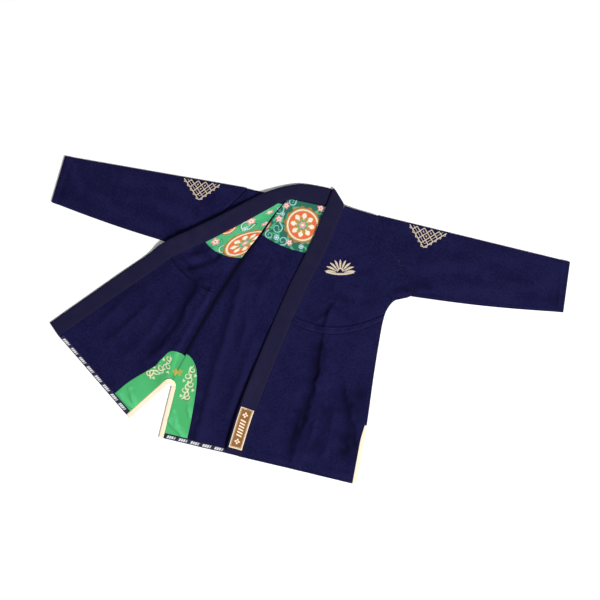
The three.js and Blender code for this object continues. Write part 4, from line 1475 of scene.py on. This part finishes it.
# %% The path of the band
COLLAR = Table(
    "seam_x seam_y free_x free_y rise",
    (-60, 845.6, -70, 889, 0.7),
    (-25, 846, -29, 896, 0.15),
    (10, 846, 9, 898, 0),
    (45, 847, 34, 898, 0),
    (74, 850, 48, 898, 0),
    (97, 855, 57, 897, 0),
)
COLLAR_FOLD_TOP = 12.0
ACROSS = np.linspace(0, 1, 25)
below_band = Pile(back_sheet, yoke_back_sheet, hem_back_sheet).settled(reach=30, slope=0.2, soft=6)
band_rows = rows_between([0, CHEST_SIDE, SHOULDER], 6)


def right_band():
    """Stations of the right lapel, which follows the seam of the opened front."""
    row = band_rows[:, None]
    ax, ay, _, _ = opened_place(np.maximum(row - 8, 0), 1 + 0 * row)
    bx, by, _, _ = opened_place(np.minimum(row + 8, SHOULDER), 1 + 0 * row)
    length = np.hypot(bx - ax, by - ay)
    out_x, out_y = -(by - ay) / length, (bx - ax) / length
    x, y, _, _ = opened_place(row, 1 + 0 * row)
    width = LAPEL_WIDTH - 9 * smoothstep(row, 790, SHOULDER)
    share = ACROSS[None, :]
    px, py = x + out_x * (SEAM + width * share), y + out_y * (SEAM + width * share)
    pz = below_flap.rest(px, py, LAPEL) + lapel_lift(row) * (1 + 0.15 * share)
    return px, py, pz


def left_band():
    """Stations of the left lapel, from the shoulder down to the hem."""
    row = band_rows[::-1, None]
    seam_x, seam_y, free_x, free_y = lapel_section(seam_height(row))
    share = ACROSS[None, :]
    px, py = mix(seam_x, free_x, share), mix(seam_y, free_y, share)
    lifted = 10 * smoothstep(share, 0.1, 1) ** 1.5 * (1 - smoothstep(row, 120, 520))
    lifted = lifted * (0.4 + 0.6 * smoothstep(row, 0, 40))
    return px, py, below_band.rest(px, py, LAPEL) + shoulder_rise(py) + lifted


def collar_band(start_z):
    keys = COLLAR.key
    at = spaced(keys[0], keys[-1], 6)[:, None]
    share = ACROSS[None, :]
    x = mix(at, COLLAR.at(at, "free_x"), share)
    y = mix(COLLAR.at(at, "seam_y"), COLLAR.at(at, "free_y"), share)
    z = LAPEL / 2 + (start_z - LAPEL / 2) * COLLAR.at(at, "rise") + 0 * x
    run_x, run_y = x[-1, -1] - x[-1, 0], y[-1, -1] - y[-1, 0]
    length = math.hypot(run_x, run_y)
    radius = (COLLAR_FOLD_TOP - LAPEL / 2) / 2
    angle = np.radians(np.linspace(-70, 70, 9))[:, None]
    arc_x = x[-1:] + run_y / length * radius * np.cos(angle)
    arc_y = y[-1:] - run_x / length * radius * np.cos(angle)
    arc_z = LAPEL / 2 + radius + radius * np.sin(angle) + 0 * arc_x
    top_z = 0 * x[-1:] + COLLAR_FOLD_TOP
    return tuple(np.vstack(v) for v in ((x, arc_x, x[-1:]), (y, arc_y, y[-1:]), (z, arc_z, top_z)))


right_part, left_part = right_band(), left_band()
collar_part = collar_band(right_part[2][-1:].mean())
band_x, band_y, band_z = (
    np.vstack([r, c, l]) for r, c, l in zip(right_part, collar_part, left_part)
)
band_mid = np.stack([band_x, band_y, band_z], -1)
turned_from = len(band_rows) + len(collar_part[0]) - 11
joint = np.zeros(len(band_mid))
joint[len(band_rows) - 3 : len(band_rows) + 3] = 1
joint[turned_from + 9 : turned_from + 18] = 1
for _ in range(6):
    softer = (band_mid[:-2] + band_mid[2:]) / 2
    band_mid[1:-1] = mix(band_mid[1:-1], softer, 0.5 * joint[1:-1, None, None])
print("band stations:", len(band_mid))


# %% The band's section
def band_mesh(name, mid, finish, channels=6, depth=0.35):
    """A closed band from its middle surface: crowned faces, round edges and stitched channels."""
    run = np.gradient(mid, axis=0)
    over = np.gradient(mid, axis=1)
    normal = np.cross(over, run)
    normal /= np.linalg.norm(normal, axis=-1, keepdims=True) + 1e-12
    side_way = over / (np.linalg.norm(over, axis=-1, keepdims=True) + 1e-12)
    share = ACROSS
    edge = np.minimum(share, 1 - share) * LAPEL_WIDTH
    half = 1.7 + (LAPEL / 2 - 1.7) * (1 - np.exp(-edge / 3.0))
    lines = (np.arange(channels) + 0.5) / channels
    groove = sum(np.exp(-(((share - l) * LAPEL_WIDTH / 1.1) ** 2)) for l in lines)
    half = (half - depth * groove)[None, :, None]
    top, bottom = mid + normal * half, mid - normal * half
    angles = np.radians(np.linspace(60, -60, 5))[None, :, None]
    low_half, high_half = half[:, :1], half[:, -1:]
    far = mid[:, -1:] + side_way[:, -1:] * high_half * np.cos(angles)
    far = far + normal[:, -1:] * high_half * np.sin(angles)
    near = mid[:, :1] - side_way[:, :1] * low_half * np.cos(angles)
    near = near + normal[:, :1] * low_half * -np.sin(angles)
    ring = np.concatenate([top, far, bottom[:, ::-1], near, top[:, :1]], axis=1)
    along = run_lengths(*np.moveaxis(mid[:, 12:13], -1, 0), 0)
    around = run_lengths(*np.moveaxis(ring, -1, 0), 1)
    uv = np.stack([around * MM, np.broadcast_to(along, around.shape) * MM], -1)
    grids = [(to_frame(*np.moveaxis(ring, -1, 0)), uv)]
    for end in (0, -1):
        cap = np.stack([bottom[end], top[end]] if end == 0 else [top[end], bottom[end]], 0)
        grids.append((to_frame(*np.moveaxis(cap, -1, 0)), np.stack([uv[end, :25], uv[end, :25] + 0.006], 0)))
    return sheet_mesh(name, grids, finish), top


lapel_band, band_top = band_mesh("lapel_and_collar_band", band_mid, lapel_finish)
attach(lapel_band, "root")
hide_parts("lapel_right", "collar_neck", "lapel_left")
print("band length", round(float(run_lengths(*np.moveaxis(band_mid[:, 12:13], -1, 0), 0)[-1, 0]), 0), "mm")

# %% [markdown]
# ## What is sewn to the opened front
#
# The lining, the vent facing and the tapes lie on the wrong side of the right front, so they take
# their form from it, a little further out.


# %% Pieces on the opened front
def on_front(row, distance=None, share=None):
    """Places on the opened front, by row and by distance from the crease or share of its width."""
    if share is None:
        share = distance / opened_place(row, 1 + 0 * row)[2]
    x, y, z = flap_height(row, share)
    return x, y, z + CLOTH / 2 + SEWN_GAP + TAPE / 2


row = rows_between([UNDERARM, SHOULDER - 20], FINE)[:, None]
share = np.linspace(0.98, 0.02, 116)[None, :]
x, y, z = on_front(row, share=share)
width = run_lengths(x, y, z, 1)
uv = np.stack([(width - width.mean(axis=1, keepdims=True)) * MM, np.broadcast_to(row, x.shape) * MM], -1)
yoke_front = sheet_mesh("yoke_lining_of_front", [(to_frame(x, y, z), uv)], print_finish, TAPE)
u, v = uv[..., 0] * 1000, uv[..., 1] * 1000
paint = Paint(u, v, LEAF)
leafage(paint, (-130, 130), (624, 836), 30, (0.03, 0.3, 0.12), (0.14, 0.55, 0.3), 8)
strew(
    paint,
    curls=[(-30, 800, 14, 1), (-20, 724, 20, -1), (70, 632, 22, 1), (-8, 640, 22, -1)],
    medallions=[(30, 668, 52), (-62, 690, 30)],
    blossoms=[(-20, 740, 12), (26, 740, 10), (-44, 640, 12), (88, 700, 12), (0, 786, 9), (-84, 728, 10)],
    rosettes=[(-14, 712, 8), (76, 636, 9), (14, 806, 7)],
    turn=0.7,
    body=(0.16, 0.5, 0.26),
    light=IVORY,
)
paint.onto(yoke_front)
sewn_in(yoke_front, "yoke_lining_right")

row = right_vent_rows[:, None]
x, y, z = on_front(row, distance=np.linspace(TAPE_WIDTH, 0, 5)[None, :])
width = np.linspace(0, TAPE_WIDTH, 5)[None, :] + 0 * row
tape_front = sheet_mesh("tape_of_right_vent_front", [laid_grid(x, y, z, width, row)], tape_cream, TAPE)
sewn_in(tape_front, "vent_tape_front_right")

# %% The tape round the top of the vent
VENT_ROUND = 5.0
apex = np.array([-322.0, 190.0])
down_back = np.array([-0.037, -0.999])
down_front = np.array([-0.593, -0.805])
halfway = (down_back + down_front) / np.linalg.norm(down_back + down_front)
half_open = math.acos(float(down_back @ down_front)) / 2
centre = apex + halfway * VENT_ROUND / math.sin(half_open)
turn_angle = np.linspace(-0.037, math.pi - 2 * half_open, 36)[None, :]
ring_reach = np.linspace(VENT_ROUND, VENT_ROUND + TAPE_WIDTH, 8)[:, None]
x = centre[0] + ring_reach * np.cos(turn_angle)
y = centre[1] + ring_reach * np.sin(turn_angle)
row = rows_between([100, 260], 3)[:, None]
near_x, near_y, near_z = on_front(row, distance=np.linspace(0, 80, 30)[None, :])
near_sheet = (near_x, near_y, near_z + 0.7)
vent_form = Pile(back_sheet, facing_back_sheet, tape_right_sheet, base_sheet, near_sheet)
z = vent_form.settled(reach=4, slope=0.35, soft=2).rest(x, y, TAPE)
arc = ring_reach * turn_angle
vent_top_grid = laid_grid(x, y, z, ring_reach, arc)
vent_top_tape = sheet_mesh("tape_round_vent_top", [vent_top_grid], tape_cream, TAPE)
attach(vent_top_tape, "root")
tape_width, tape_length, tape_area = flat_size(vent_top_tape)

# %% Facing of the opened front
def front_facing_width(row):
    """The facing of the opened front, half way up a little narrower than the back's."""
    return FACING.at(row, "width") - 9 * plateau(row, 60, 190, 230, 280)


row = patch_rows[:, None]
distance = mix(front_facing_width(row), facing_edge(row), np.linspace(0, 1, 46)[None, :])
x, y, z = on_front(row, distance=distance)
z = z + fold_height(FRONT_FACING_FOLDS, x, y)
_, _, under_z = base_places(np.maximum(row, VENT_TOP))
middle_z = (flap_height(row, 0 * row)[2] + under_z[:, -1:]) / 2
angle = np.radians(np.linspace(66, -20, 7))[None, :]
turning = (z[:, -1:] - middle_z) * smoothstep(row, VENT_TOP + 4, VENT_TOP + 16)
turn_x = x[:, -1:] + CREASE_OUT[0] * turning * np.cos(angle)
turn_y = y[:, -1:] + CREASE_OUT[1] * turning * np.cos(angle)
turn_z = z[:, -1:] - turning * (1 - np.sin(angle))
x, y, z = np.hstack([x, turn_x]), np.hstack([y, turn_y]), np.hstack([z, turn_z])
inward = run_lengths(x, y, z, 1)
inward = inward[:, -1:] - inward
uv = np.stack([-inward * MM, row * MM + 0 * inward], -1)
facing_front = sheet_mesh("vent_facing_of_front", [(to_frame(x, y, z), uv)], patch_finish, TAPE)
paint = Paint(-inward, row + 0 * inward, GREEN)
green_with_painted_light_and_shade(paint, FRONT_FACING_FOLDS, x, y, (inward - 4).clip(0), row + 0 * inward)
scrollwork(paint, -46, 150, flip=-1)
paint.petals(-7, 222, 12, 4, SPOT_GOLD, turn=0.4, depth=0.5)
paint.onto(facing_front)
sewn_in(facing_front, "vent_patch_right")

OPENED_HEM = 355
share = np.linspace(0.985, (PATCH_INNER + 1) / OPENED_HEM, 160)[None, :]
x, y, z = on_front(HEM_ROWS, share=share)
along = run_lengths(x, y, z, 1)
hem_front = sheet_mesh("hem_tape_of_front", [laid_grid(x, y, z, along, HEM_ROWS)], hem_finish, TAPE)
hem_marks(along, HEM_ROWS + 0 * along, float(along.max())).onto(hem_front)
sewn_in(hem_front, "hem_tape_right")

# %% [markdown]
# ## The woven label
#
# A brown woven label is stitched round its edge to the foot of the left lapel. It is generic: a cream
# border, a small leaf at each end and plain bars between.

# %% Label
LABEL_LOW, LABEL_HIGH = 22, 155
heights = band_mid[-len(band_rows) :, 0, 1]
chosen = np.where((heights >= LABEL_LOW - 7) & (heights <= LABEL_HIGH + 7))[0]
chosen = chosen + len(band_mid) - len(band_rows)
face = band_top[chosen][::-1][:, 2:23]
seam_y = band_mid[chosen][::-1][:, 0, 1]
wanted = mix(LABEL_LOW, LABEL_HIGH, np.linspace(0, 1, 100))
across_fine = np.linspace(0, 1, 44)
label_grid = np.empty((100, 44, 3))
for axis in range(3):
    lengthwise = np.stack([np.interp(wanted, seam_y, face[:, k, axis]) for k in range(21)], 1)
    label_grid[..., axis] = [np.interp(across_fine, np.linspace(0, 1, 21), r) for r in lengthwise]
lx, ly, lz = np.moveaxis(label_grid, -1, 0)
lz = lz.max(axis=1, keepdims=True) * 0.35 + lz * 0.65 + GAP + TAPE / 2
label_u = run_lengths(lx, ly, lz, 1)
label_v = run_lengths(lx, ly, lz, 0)
label = sheet_mesh("woven_label", [laid_grid(lx, ly, lz, label_u, label_v)], label_finish, TAPE)
long, wide = float(label_v.max()), float(label_u.max())
BROWN = (0.22, 0.088, 0.018)
paint = Paint(label_u, label_v, BROWN)
rim = np.minimum(np.minimum(label_u, wide - label_u), np.minimum(label_v, long - label_v))
paint.lay((3.0 - rim) / 0.8 + 0.5, CREAM)
paint.lay(np.minimum((5.6 - rim) / 0.8, (rim - 4.8) / 0.8) + 0.5, CREAM)
for at in (24, long - 24):
    paint.petals(wide / 2, at, 9, 4, CREAM, depth=0.75)
    paint.disc(wide / 2, at, 2.6, BROWN)
off_middle = label_u - wide / 2
for at in np.linspace(44, long - 44, 6):
    lengthwise = (2.2 - np.abs(label_v - at - 0.25 * off_middle)) / 0.8
    paint.lay(np.minimum(lengthwise, (9 - np.abs(off_middle)) / 0.8) + 0.5, CREAM)
paint.onto(label)
sewn_in(label, "lapel_label")

# %% [markdown]
# ## Sewing
#
# Every seam is held by short even stitches. They follow a line on the cloth, so they are made by
# Geometry Nodes: the line is walked at the stitch pitch and a small rounded stitch is set at each
# step, turned along the line.

# %% Lines on the cloth
def line_of(x, y, z):
    return np.stack([np.ravel(v) for v in np.broadcast_arrays(x, y, z)], -1)


def on_left_front(row, inset=None, share=None):
    row = np.asarray(row, float)
    width = side(row)[0] - lapel_section(seam_height(row))[0]
    u = inset / width if share is None else share
    x, y, seam_x = front_place(row, u)
    return line_of(x, y, front_height(row, x, y, seam_x) + CLOTH / 2 + 0.15)


def on_opened(row, distance=None, share=None):
    x, y, z = on_front(row, distance=distance, share=share)
    return line_of(x, y, z - TAPE / 2 - 0.1)


def on_sleeve(x, y, hand):
    surface = sleeve_forms[hand]
    return line_of(x * hand, y, surface.at(x * hand, y) + 0.15)


SLEEVE_TOP = 5.4
sleeve_forms = {}
for hand, name in ((1, "sleeve_left"), (-1, "sleeve_right")):
    laid = Pile(sleeve_tops[name]).as_laid()
    sleeve_forms[hand] = Form(np.maximum(laid.height, SLEEVE_TOP))
all_rows = np.arange(2.0, SHOULDER - 2, 6)
arm_rows = np.arange(UNDERARM + 3.0, SHOULDER - 3, 6)
body_rows = np.arange(VENT_TOP + 4.0, UNDERARM, 6)
across_front = np.linspace(0.02, 0.985, 90)
seams = [
    on_left_front(np.full(90, CHEST_SIDE + 1.6), share=across_front),
    on_left_front(np.full(90, CHEST_SIDE + FELL - 0.6), share=across_front),
    on_left_front(arm_rows, inset=2.5),
    on_left_front(arm_rows, inset=9.0),
    on_left_front(body_rows, inset=3.0),
    on_left_front(body_rows, inset=9.0),
    on_left_front(np.full(90, 15.0), share=across_front),
    on_left_front(np.full(90, 2.5), share=across_front),
    on_left_front(all_rows, share=0.982 + 0 * all_rows),
]
for level in (CHEST_SIDE + 1.6, CHEST_SIDE + FELL - 1.5):
    row = np.full((90, 1), level)
    seams.append(on_opened(row, share=np.linspace(0.03, 0.98, 90)[:, None]))
for hand in (1, -1):
    for inset in (3.0, 20.0):
        share = 1 - inset / (CUFF["top_x"] - SIDE.at(SHOULDER, "x"))
        x, y = sleeve_place(np.linspace(UNDERARM + 4, SHOULDER - 4, 60), share)
        seams.append(on_sleeve(x, y, hand))
    x, y = sleeve_place(np.full(90, UNDERARM + 4.0), np.linspace(0.01, 0.995, 90))
    seams.append(on_sleeve(x, y, hand))
    gusset = smooth_path([(310, 622), (389, 646), (429, 671)], 40)
    seams.append(on_sleeve(gusset[:, 0], gusset[:, 1], hand))
    x, y = sleeve_place(arm_rows, 0.004 + 0 * arm_rows)
    seams.append(on_sleeve(x, y, hand))

# %% Lines on the tapes, the facings and the lapel
THREAD_LIFT = 0.1


def on_back_tape(x, y):
    """A line on top of a tape or a lining of the back."""
    return line_of(x, y, over_back(x, y) + TAPE / 2 + THREAD_LIFT)


def on_front_tape(row, **where):
    """A line on top of a tape or a lining of the opened front."""
    x, y, z = on_front(row, **where)
    return line_of(x, y, z + TAPE / 2 + THREAD_LIFT)


tape_seams = []
vent_column = right_vent_rows[:, None]
for edge in (1.8, TAPE_WIDTH - 1.8):
    tape_seams.append(on_back_tape(SIDE.at(vent_rows, "x") - edge, vent_rows))
    tape_seams.append(on_back_tape(edge - SIDE.at(right_vent_rows, "x"), right_vent_rows))
    tape_seams.append(on_front_tape(vent_column, distance=edge + 0 * vent_column))
for edge in (2.0, TAPE_WIDTH - 1.6):
    x = np.linspace(-hem_end + 2, 0, 90)
    seams.append(on_back_tape(x, edge + 0 * x))
    seams.append(on_front_tape(np.full((160, 1), edge), share=np.linspace(0.98, 0.06, 160)[:, None]))

row = np.arange(20.0, 287, 4)
x = np.linspace(-200, 200, 120)
facing_seams = [
    on_back_tape(FACING.at(row, "width") - 1.8 - SIDE.at(row, "x"), row),
    on_front_tape(row[:, None], distance=front_facing_width(row[:, None]) - 1.8),
    on_back_tape(x, lining_edge(x) + 2),
    on_front_tape(np.full((60, 1), UNDERARM + 2.0), share=np.linspace(0.97, 0.03, 60)[:, None]),
]

LAPEL_LINES = 6
channel_at = (np.arange(LAPEL_LINES) + 0.5) / LAPEL_LINES * (len(ACROSS) - 1)
lapel_seams = [band_top[:, int(round(k))] + (0, 0, THREAD_LIFT) for k in channel_at]
print("lines to sew:", len(seams) + len(tape_seams) + len(facing_seams) + len(lapel_seams))


# %% The stitch tree
def thread_finish(name, colour, other):
    finish = Finish(name, Roughness=0.6, Specular_IOR_Level=0.3)
    twist = finish.noise(900, 2, 0.5)
    finish.set("Base Color", finish.tint(twist, colour, other))
    finish.bump(twist, 0.3, 0.0002)
    return finish.material


def stitch_tree():
    tree = bpy.data.node_groups.new("stitch_line", "GeometryNodeTree")
    face = tree.interface
    face.new_socket("Geometry", in_out="INPUT", socket_type="NodeSocketGeometry")
    for name, value in (("Pitch", 0.0042), ("Length", 0.0031), ("Width", 0.0009)):
        face.new_socket(name, in_out="INPUT", socket_type="NodeSocketFloat").default_value = value
    face.new_socket("Thread", in_out="INPUT", socket_type="NodeSocketMaterial")
    face.new_socket("Geometry", in_out="OUTPUT", socket_type="NodeSocketGeometry")

    def add(kind, **settings):
        made = tree.nodes.new(kind)
        for key, value in settings.items():
            setattr(made, key, value)
        return made

    start, end = add("NodeGroupInput"), add("NodeGroupOutput")
    curve = add("GeometryNodeMeshToCurve")
    walk = add("GeometryNodeResampleCurve", mode="LENGTH")
    ball = add("GeometryNodeMeshUVSphere")
    ball.inputs["Segments"].default_value = 6
    ball.inputs["Rings"].default_value = 4
    ball.inputs["Radius"].default_value = 0.5
    size = add("ShaderNodeCombineXYZ")
    shaped = add("GeometryNodeTransform")
    tangent = add("GeometryNodeInputTangent")
    turned = add("FunctionNodeAlignRotationToVector", axis="X")
    placed = add("GeometryNodeInstanceOnPoints")
    real = add("GeometryNodeRealizeInstances")
    coloured = add("GeometryNodeSetMaterial")
    for source, target in (
        (start.outputs["Geometry"], curve.inputs["Mesh"]),
        (curve.outputs["Curve"], walk.inputs["Curve"]),
        (start.outputs["Pitch"], walk.inputs["Length"]),
        (start.outputs["Length"], size.inputs["X"]),
        (start.outputs["Width"], size.inputs["Y"]),
        (start.outputs["Width"], size.inputs["Z"]),
        (ball.outputs["Mesh"], shaped.inputs["Geometry"]),
        (size.outputs["Vector"], shaped.inputs["Scale"]),
        (tangent.outputs["Tangent"], turned.inputs["Vector"]),
        (walk.outputs["Curve"], placed.inputs["Points"]),
        (shaped.outputs["Geometry"], placed.inputs["Instance"]),
        (turned.outputs["Rotation"], placed.inputs["Rotation"]),
        (placed.outputs["Instances"], real.inputs["Geometry"]),
        (real.outputs["Geometry"], coloured.inputs["Geometry"]),
        (start.outputs["Thread"], coloured.inputs["Material"]),
        (coloured.outputs["Geometry"], end.inputs["Geometry"]),
    ):
        tree.links.new(source, target)
    return tree


STITCHES = stitch_tree()


def sew(name, lines, thread, slot, **sizes):
    """Turns lines into a mesh of stitches."""
    points, edges = [], []
    for line in lines:
        start = len(points)
        points.extend(to_frame(*line.T).tolist())
        edges.extend((k, k + 1) for k in range(start, len(points) - 1))
    mesh = bpy.data.meshes.new(name + "_line")
    mesh.from_pydata(points, edges, [])
    drawn = bpy.data.objects.new(name + "_line", mesh)
    bpy.context.scene.collection.objects.link(drawn)
    nodes = drawn.modifiers.new("stitches", "NODES")
    nodes.node_group = STITCHES
    for item in STITCHES.interface.items_tree:
        if item.in_out == "INPUT" and item.name in sizes:
            nodes[item.identifier] = sizes[item.name]
        if item.in_out == "INPUT" and item.name == "Thread":
            nodes[item.identifier] = thread
    done = drawn.evaluated_get(bpy.context.evaluated_depsgraph_get())
    plain = bpy.data.meshes.new_from_object(done)
    made = bpy.data.objects.new(name, plain)
    bpy.context.scene.collection.objects.link(made)
    bpy.data.objects.remove(drawn)
    made.data.polygons.foreach_set("use_smooth", [True] * len(made.data.polygons))
    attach(made, "root")
    print(f"{name}: {len(made.data.polygons) // 18} stitches")


navy_thread = thread_finish("navy_thread", (0.010, 0.009, 0.05), (0.02, 0.018, 0.08))
lapel_thread = thread_finish("lapel_thread", (0.006, 0.005, 0.022), (0.011, 0.009, 0.034))
cream_thread = thread_finish("cream_thread", (0.8, 0.68, 0.5), (0.66, 0.52, 0.34))
green_thread = thread_finish("green_thread", (0.05, 0.36, 0.14), (0.03, 0.24, 0.1))
sew("stitches_of_seams", seams, navy_thread, "pearl_weave")
LONG_STITCH = dict(Pitch=0.0048, Length=0.0034, Width=0.0007)
SHORT_STITCH = dict(Pitch=0.0036, Length=0.0026)
sew("stitches_of_lapel", lapel_seams, lapel_thread, "lapel_cloth", **LONG_STITCH)
sew("stitches_of_tapes", tape_seams, cream_thread, "vent_tape", **SHORT_STITCH)
sew("stitches_of_facings", facing_seams, green_thread, "vent_patch", **SHORT_STITCH)

# %% [markdown]
# ## Embroidery
#
# Thick cream thread is worked in satin stitch: rows of threads side by side make a raised rounded
# bar. A bar is swept along each stroke of the drawing and laid on the cloth below. A lattice diamond
# is folded over the top of each sleeve, so half of it shows. A plain palmette, a fan of
# leaves on a curved stem, sits on the chest.


# %% Satin stitch
def satin_finish():
    finish = Finish("satin_stitch", Roughness=0.5, Specular_IOR_Level=0.35)
    u, v = finish.pattern()
    threads = (v * (math.pi / 0.0005)).sin().absolute()
    speck = finish.noise(300, 2, 0.6)
    # The grooves between the threads are painted darker and their crowns paler, as painted shade and light.
    shade = finish.tint((threads * 0.7 + speck * 0.5).at_most(1), (0.28, 0.215, 0.16), (0.68, 0.57, 0.43))
    finish.set("Base Color", shade)
    finish.bump(threads, 0.5, 0.0003)
    return finish.material


SATIN = satin_finish()


def satin_bar(points, width, surface, taper=0.0, curved=True):
    """A raised rounded bar of thread along a stroke."""
    length = float(np.hypot(*np.diff(np.array(points, float), axis=0).T).sum())
    count = max(3, int(length / 1.6) + 1)
    if curved and len(points) > 2:
        path = smooth_path(points, count)
    else:
        walk = run_lengths(*np.array(points, float).T, 0, 0)
        at = np.linspace(0, walk[-1], count)
        path = np.stack([np.interp(at, walk, np.array(points, float)[:, k]) for k in (0, 1)], -1)
    way = np.gradient(path, axis=0)
    way /= np.linalg.norm(way, axis=1, keepdims=True) + 1e-9
    out = np.stack([-way[:, 1], way[:, 0]], -1)
    along = np.linspace(0, 1, count)
    half = width / 2 * (1 - taper * np.abs(2 * along - 1) ** 2)
    across = np.array([-1, -0.6, 0, 0.6, 1, -1])
    lift = np.array([0.05, 0.42, 0.6, 0.42, 0.05, 0.05])
    x = path[:, :1] + out[:, :1] * half[:, None] * across
    y = path[:, 1:] + out[:, 1:] * half[:, None] * across
    z = surface.at(path[:, 0], path[:, 1])[:, None] + lift * np.minimum(1, half[:, None])
    uv = np.stack([0 * x + across * width * MM, 0 * x + (along * length)[:, None] * MM], -1)
    return to_frame(x, y, z), uv


def embroider(name, bars):
    made = sheet_mesh(name, bars, SATIN)
    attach(made, "root")
    print(f"{name}: {len(bars)} bars, {len(made.data.polygons)} faces")


# %% The lattice diamonds on the sleeves
DIAMOND = dict(half_width=59.0, depth=60.0, rim=3.4, bar=3.2)


def sleeve_diamond(name, hand, centre_x):
    """Half of an openwork diamond, from the fold at the top of the sleeve down to its point."""
    surface = sleeve_forms[hand]
    row_top = SHOULDER - 0.5
    share = (centre_x - SIDE.at(SHOULDER, "x")) / (CUFF["top_x"] - SIDE.at(SHOULDER, "x"))
    origin = np.array([centre_x, sleeve_place(row_top, share)[1]])
    slope = (CUFF["top_y"] - SHOULDER) / (CUFF["top_x"] - SIDE.at(SHOULDER, "x"))
    along = np.array([1, slope]) / math.hypot(1, slope)
    down = np.array([along[1], -along[0]])
    wide, deep = DIAMOND["half_width"], DIAMOND["depth"]

    def place(p, q):
        """From steps along the two sides of the diamond to a place on the sleeve."""
        a, b = (p - q) / 2 * wide, (p + q) / 2 * deep
        spot = origin + along * a + down * (b + 1.2)
        return float(spot[0] * hand), float(spot[1])

    def bar(ends, width):
        return satin_bar([place(*e) for e in ends], width, surface, curved=False)

    bars = []
    for level, width in ((1.0, DIAMOND["rim"]), (0.8, 1.8)):
        bars.append(bar([(level, -level), (level, level)], width))
        bars.append(bar([(-level, level), (level, level)], width))
    for level in (-0.6, -0.2, 0.2, 0.6):
        bars.append(bar([(level, max(-level, -0.8)), (level, 1.0)], DIAMOND["bar"]))
        bars.append(bar([(max(-level, -0.8), level), (1.0, level)], DIAMOND["bar"]))
    for p in (-0.4, 0.0, 0.4):
        for q in (-0.4, 0.0, 0.4):
            if p + q > 0.1:
                bars.append(bar([(p - 0.07, q), (p + 0.07, q)], 4.0))
    for k in np.linspace(-0.8, 0.8, 5):
        bars.append(bar([(k - 0.11, 1.02), (k, 1.13), (k + 0.11, 1.02)], 2.4))
        bars.append(bar([(1.02, k - 0.11), (1.13, k), (1.02, k + 0.11)], 2.4))
    embroider(name, bars)


sleeve_diamond("embroidered_diamond_left", 1, 377)
sleeve_diamond("embroidered_diamond_right", -1, 362)

# %% The palmette on the chest
chest_form = Pile(upper_left_sheet).as_laid()
FAN_X, FAN_Y, FAN_TILT = 131.0, 667.0, 0.2
FAN_SIZE = 1.16


def leaf_bar(points, width, taper=0.0):
    c, s = math.cos(FAN_TILT), math.sin(FAN_TILT)
    points = [(FAN_SIZE * a, FAN_SIZE * b) for a, b in points]
    turned = [(FAN_X + c * a - s * b, FAN_Y + s * a + c * b) for a, b in points]
    return satin_bar(turned, width, chest_form, taper)


fan_bars = [leaf_bar([(-38, -17), (-14, -22), (14, -22), (38, -17)], 7.0)]
for angle in np.radians(np.linspace(6, 174, 9)):
    way = np.array([math.cos(angle), math.sin(angle)])
    foot, middle, tip = ((0, -19) + way * (reach, 0.86 * reach) for reach in (11, 28, 42))
    fan_bars.append(leaf_bar([foot, middle + (0, 2), tip], 7.4, taper=0.8))
fan_bars.append(leaf_bar([(-9, -15), (0, -6), (9, -15)], 5.0))
embroider("embroidered_palmette", fan_bars)
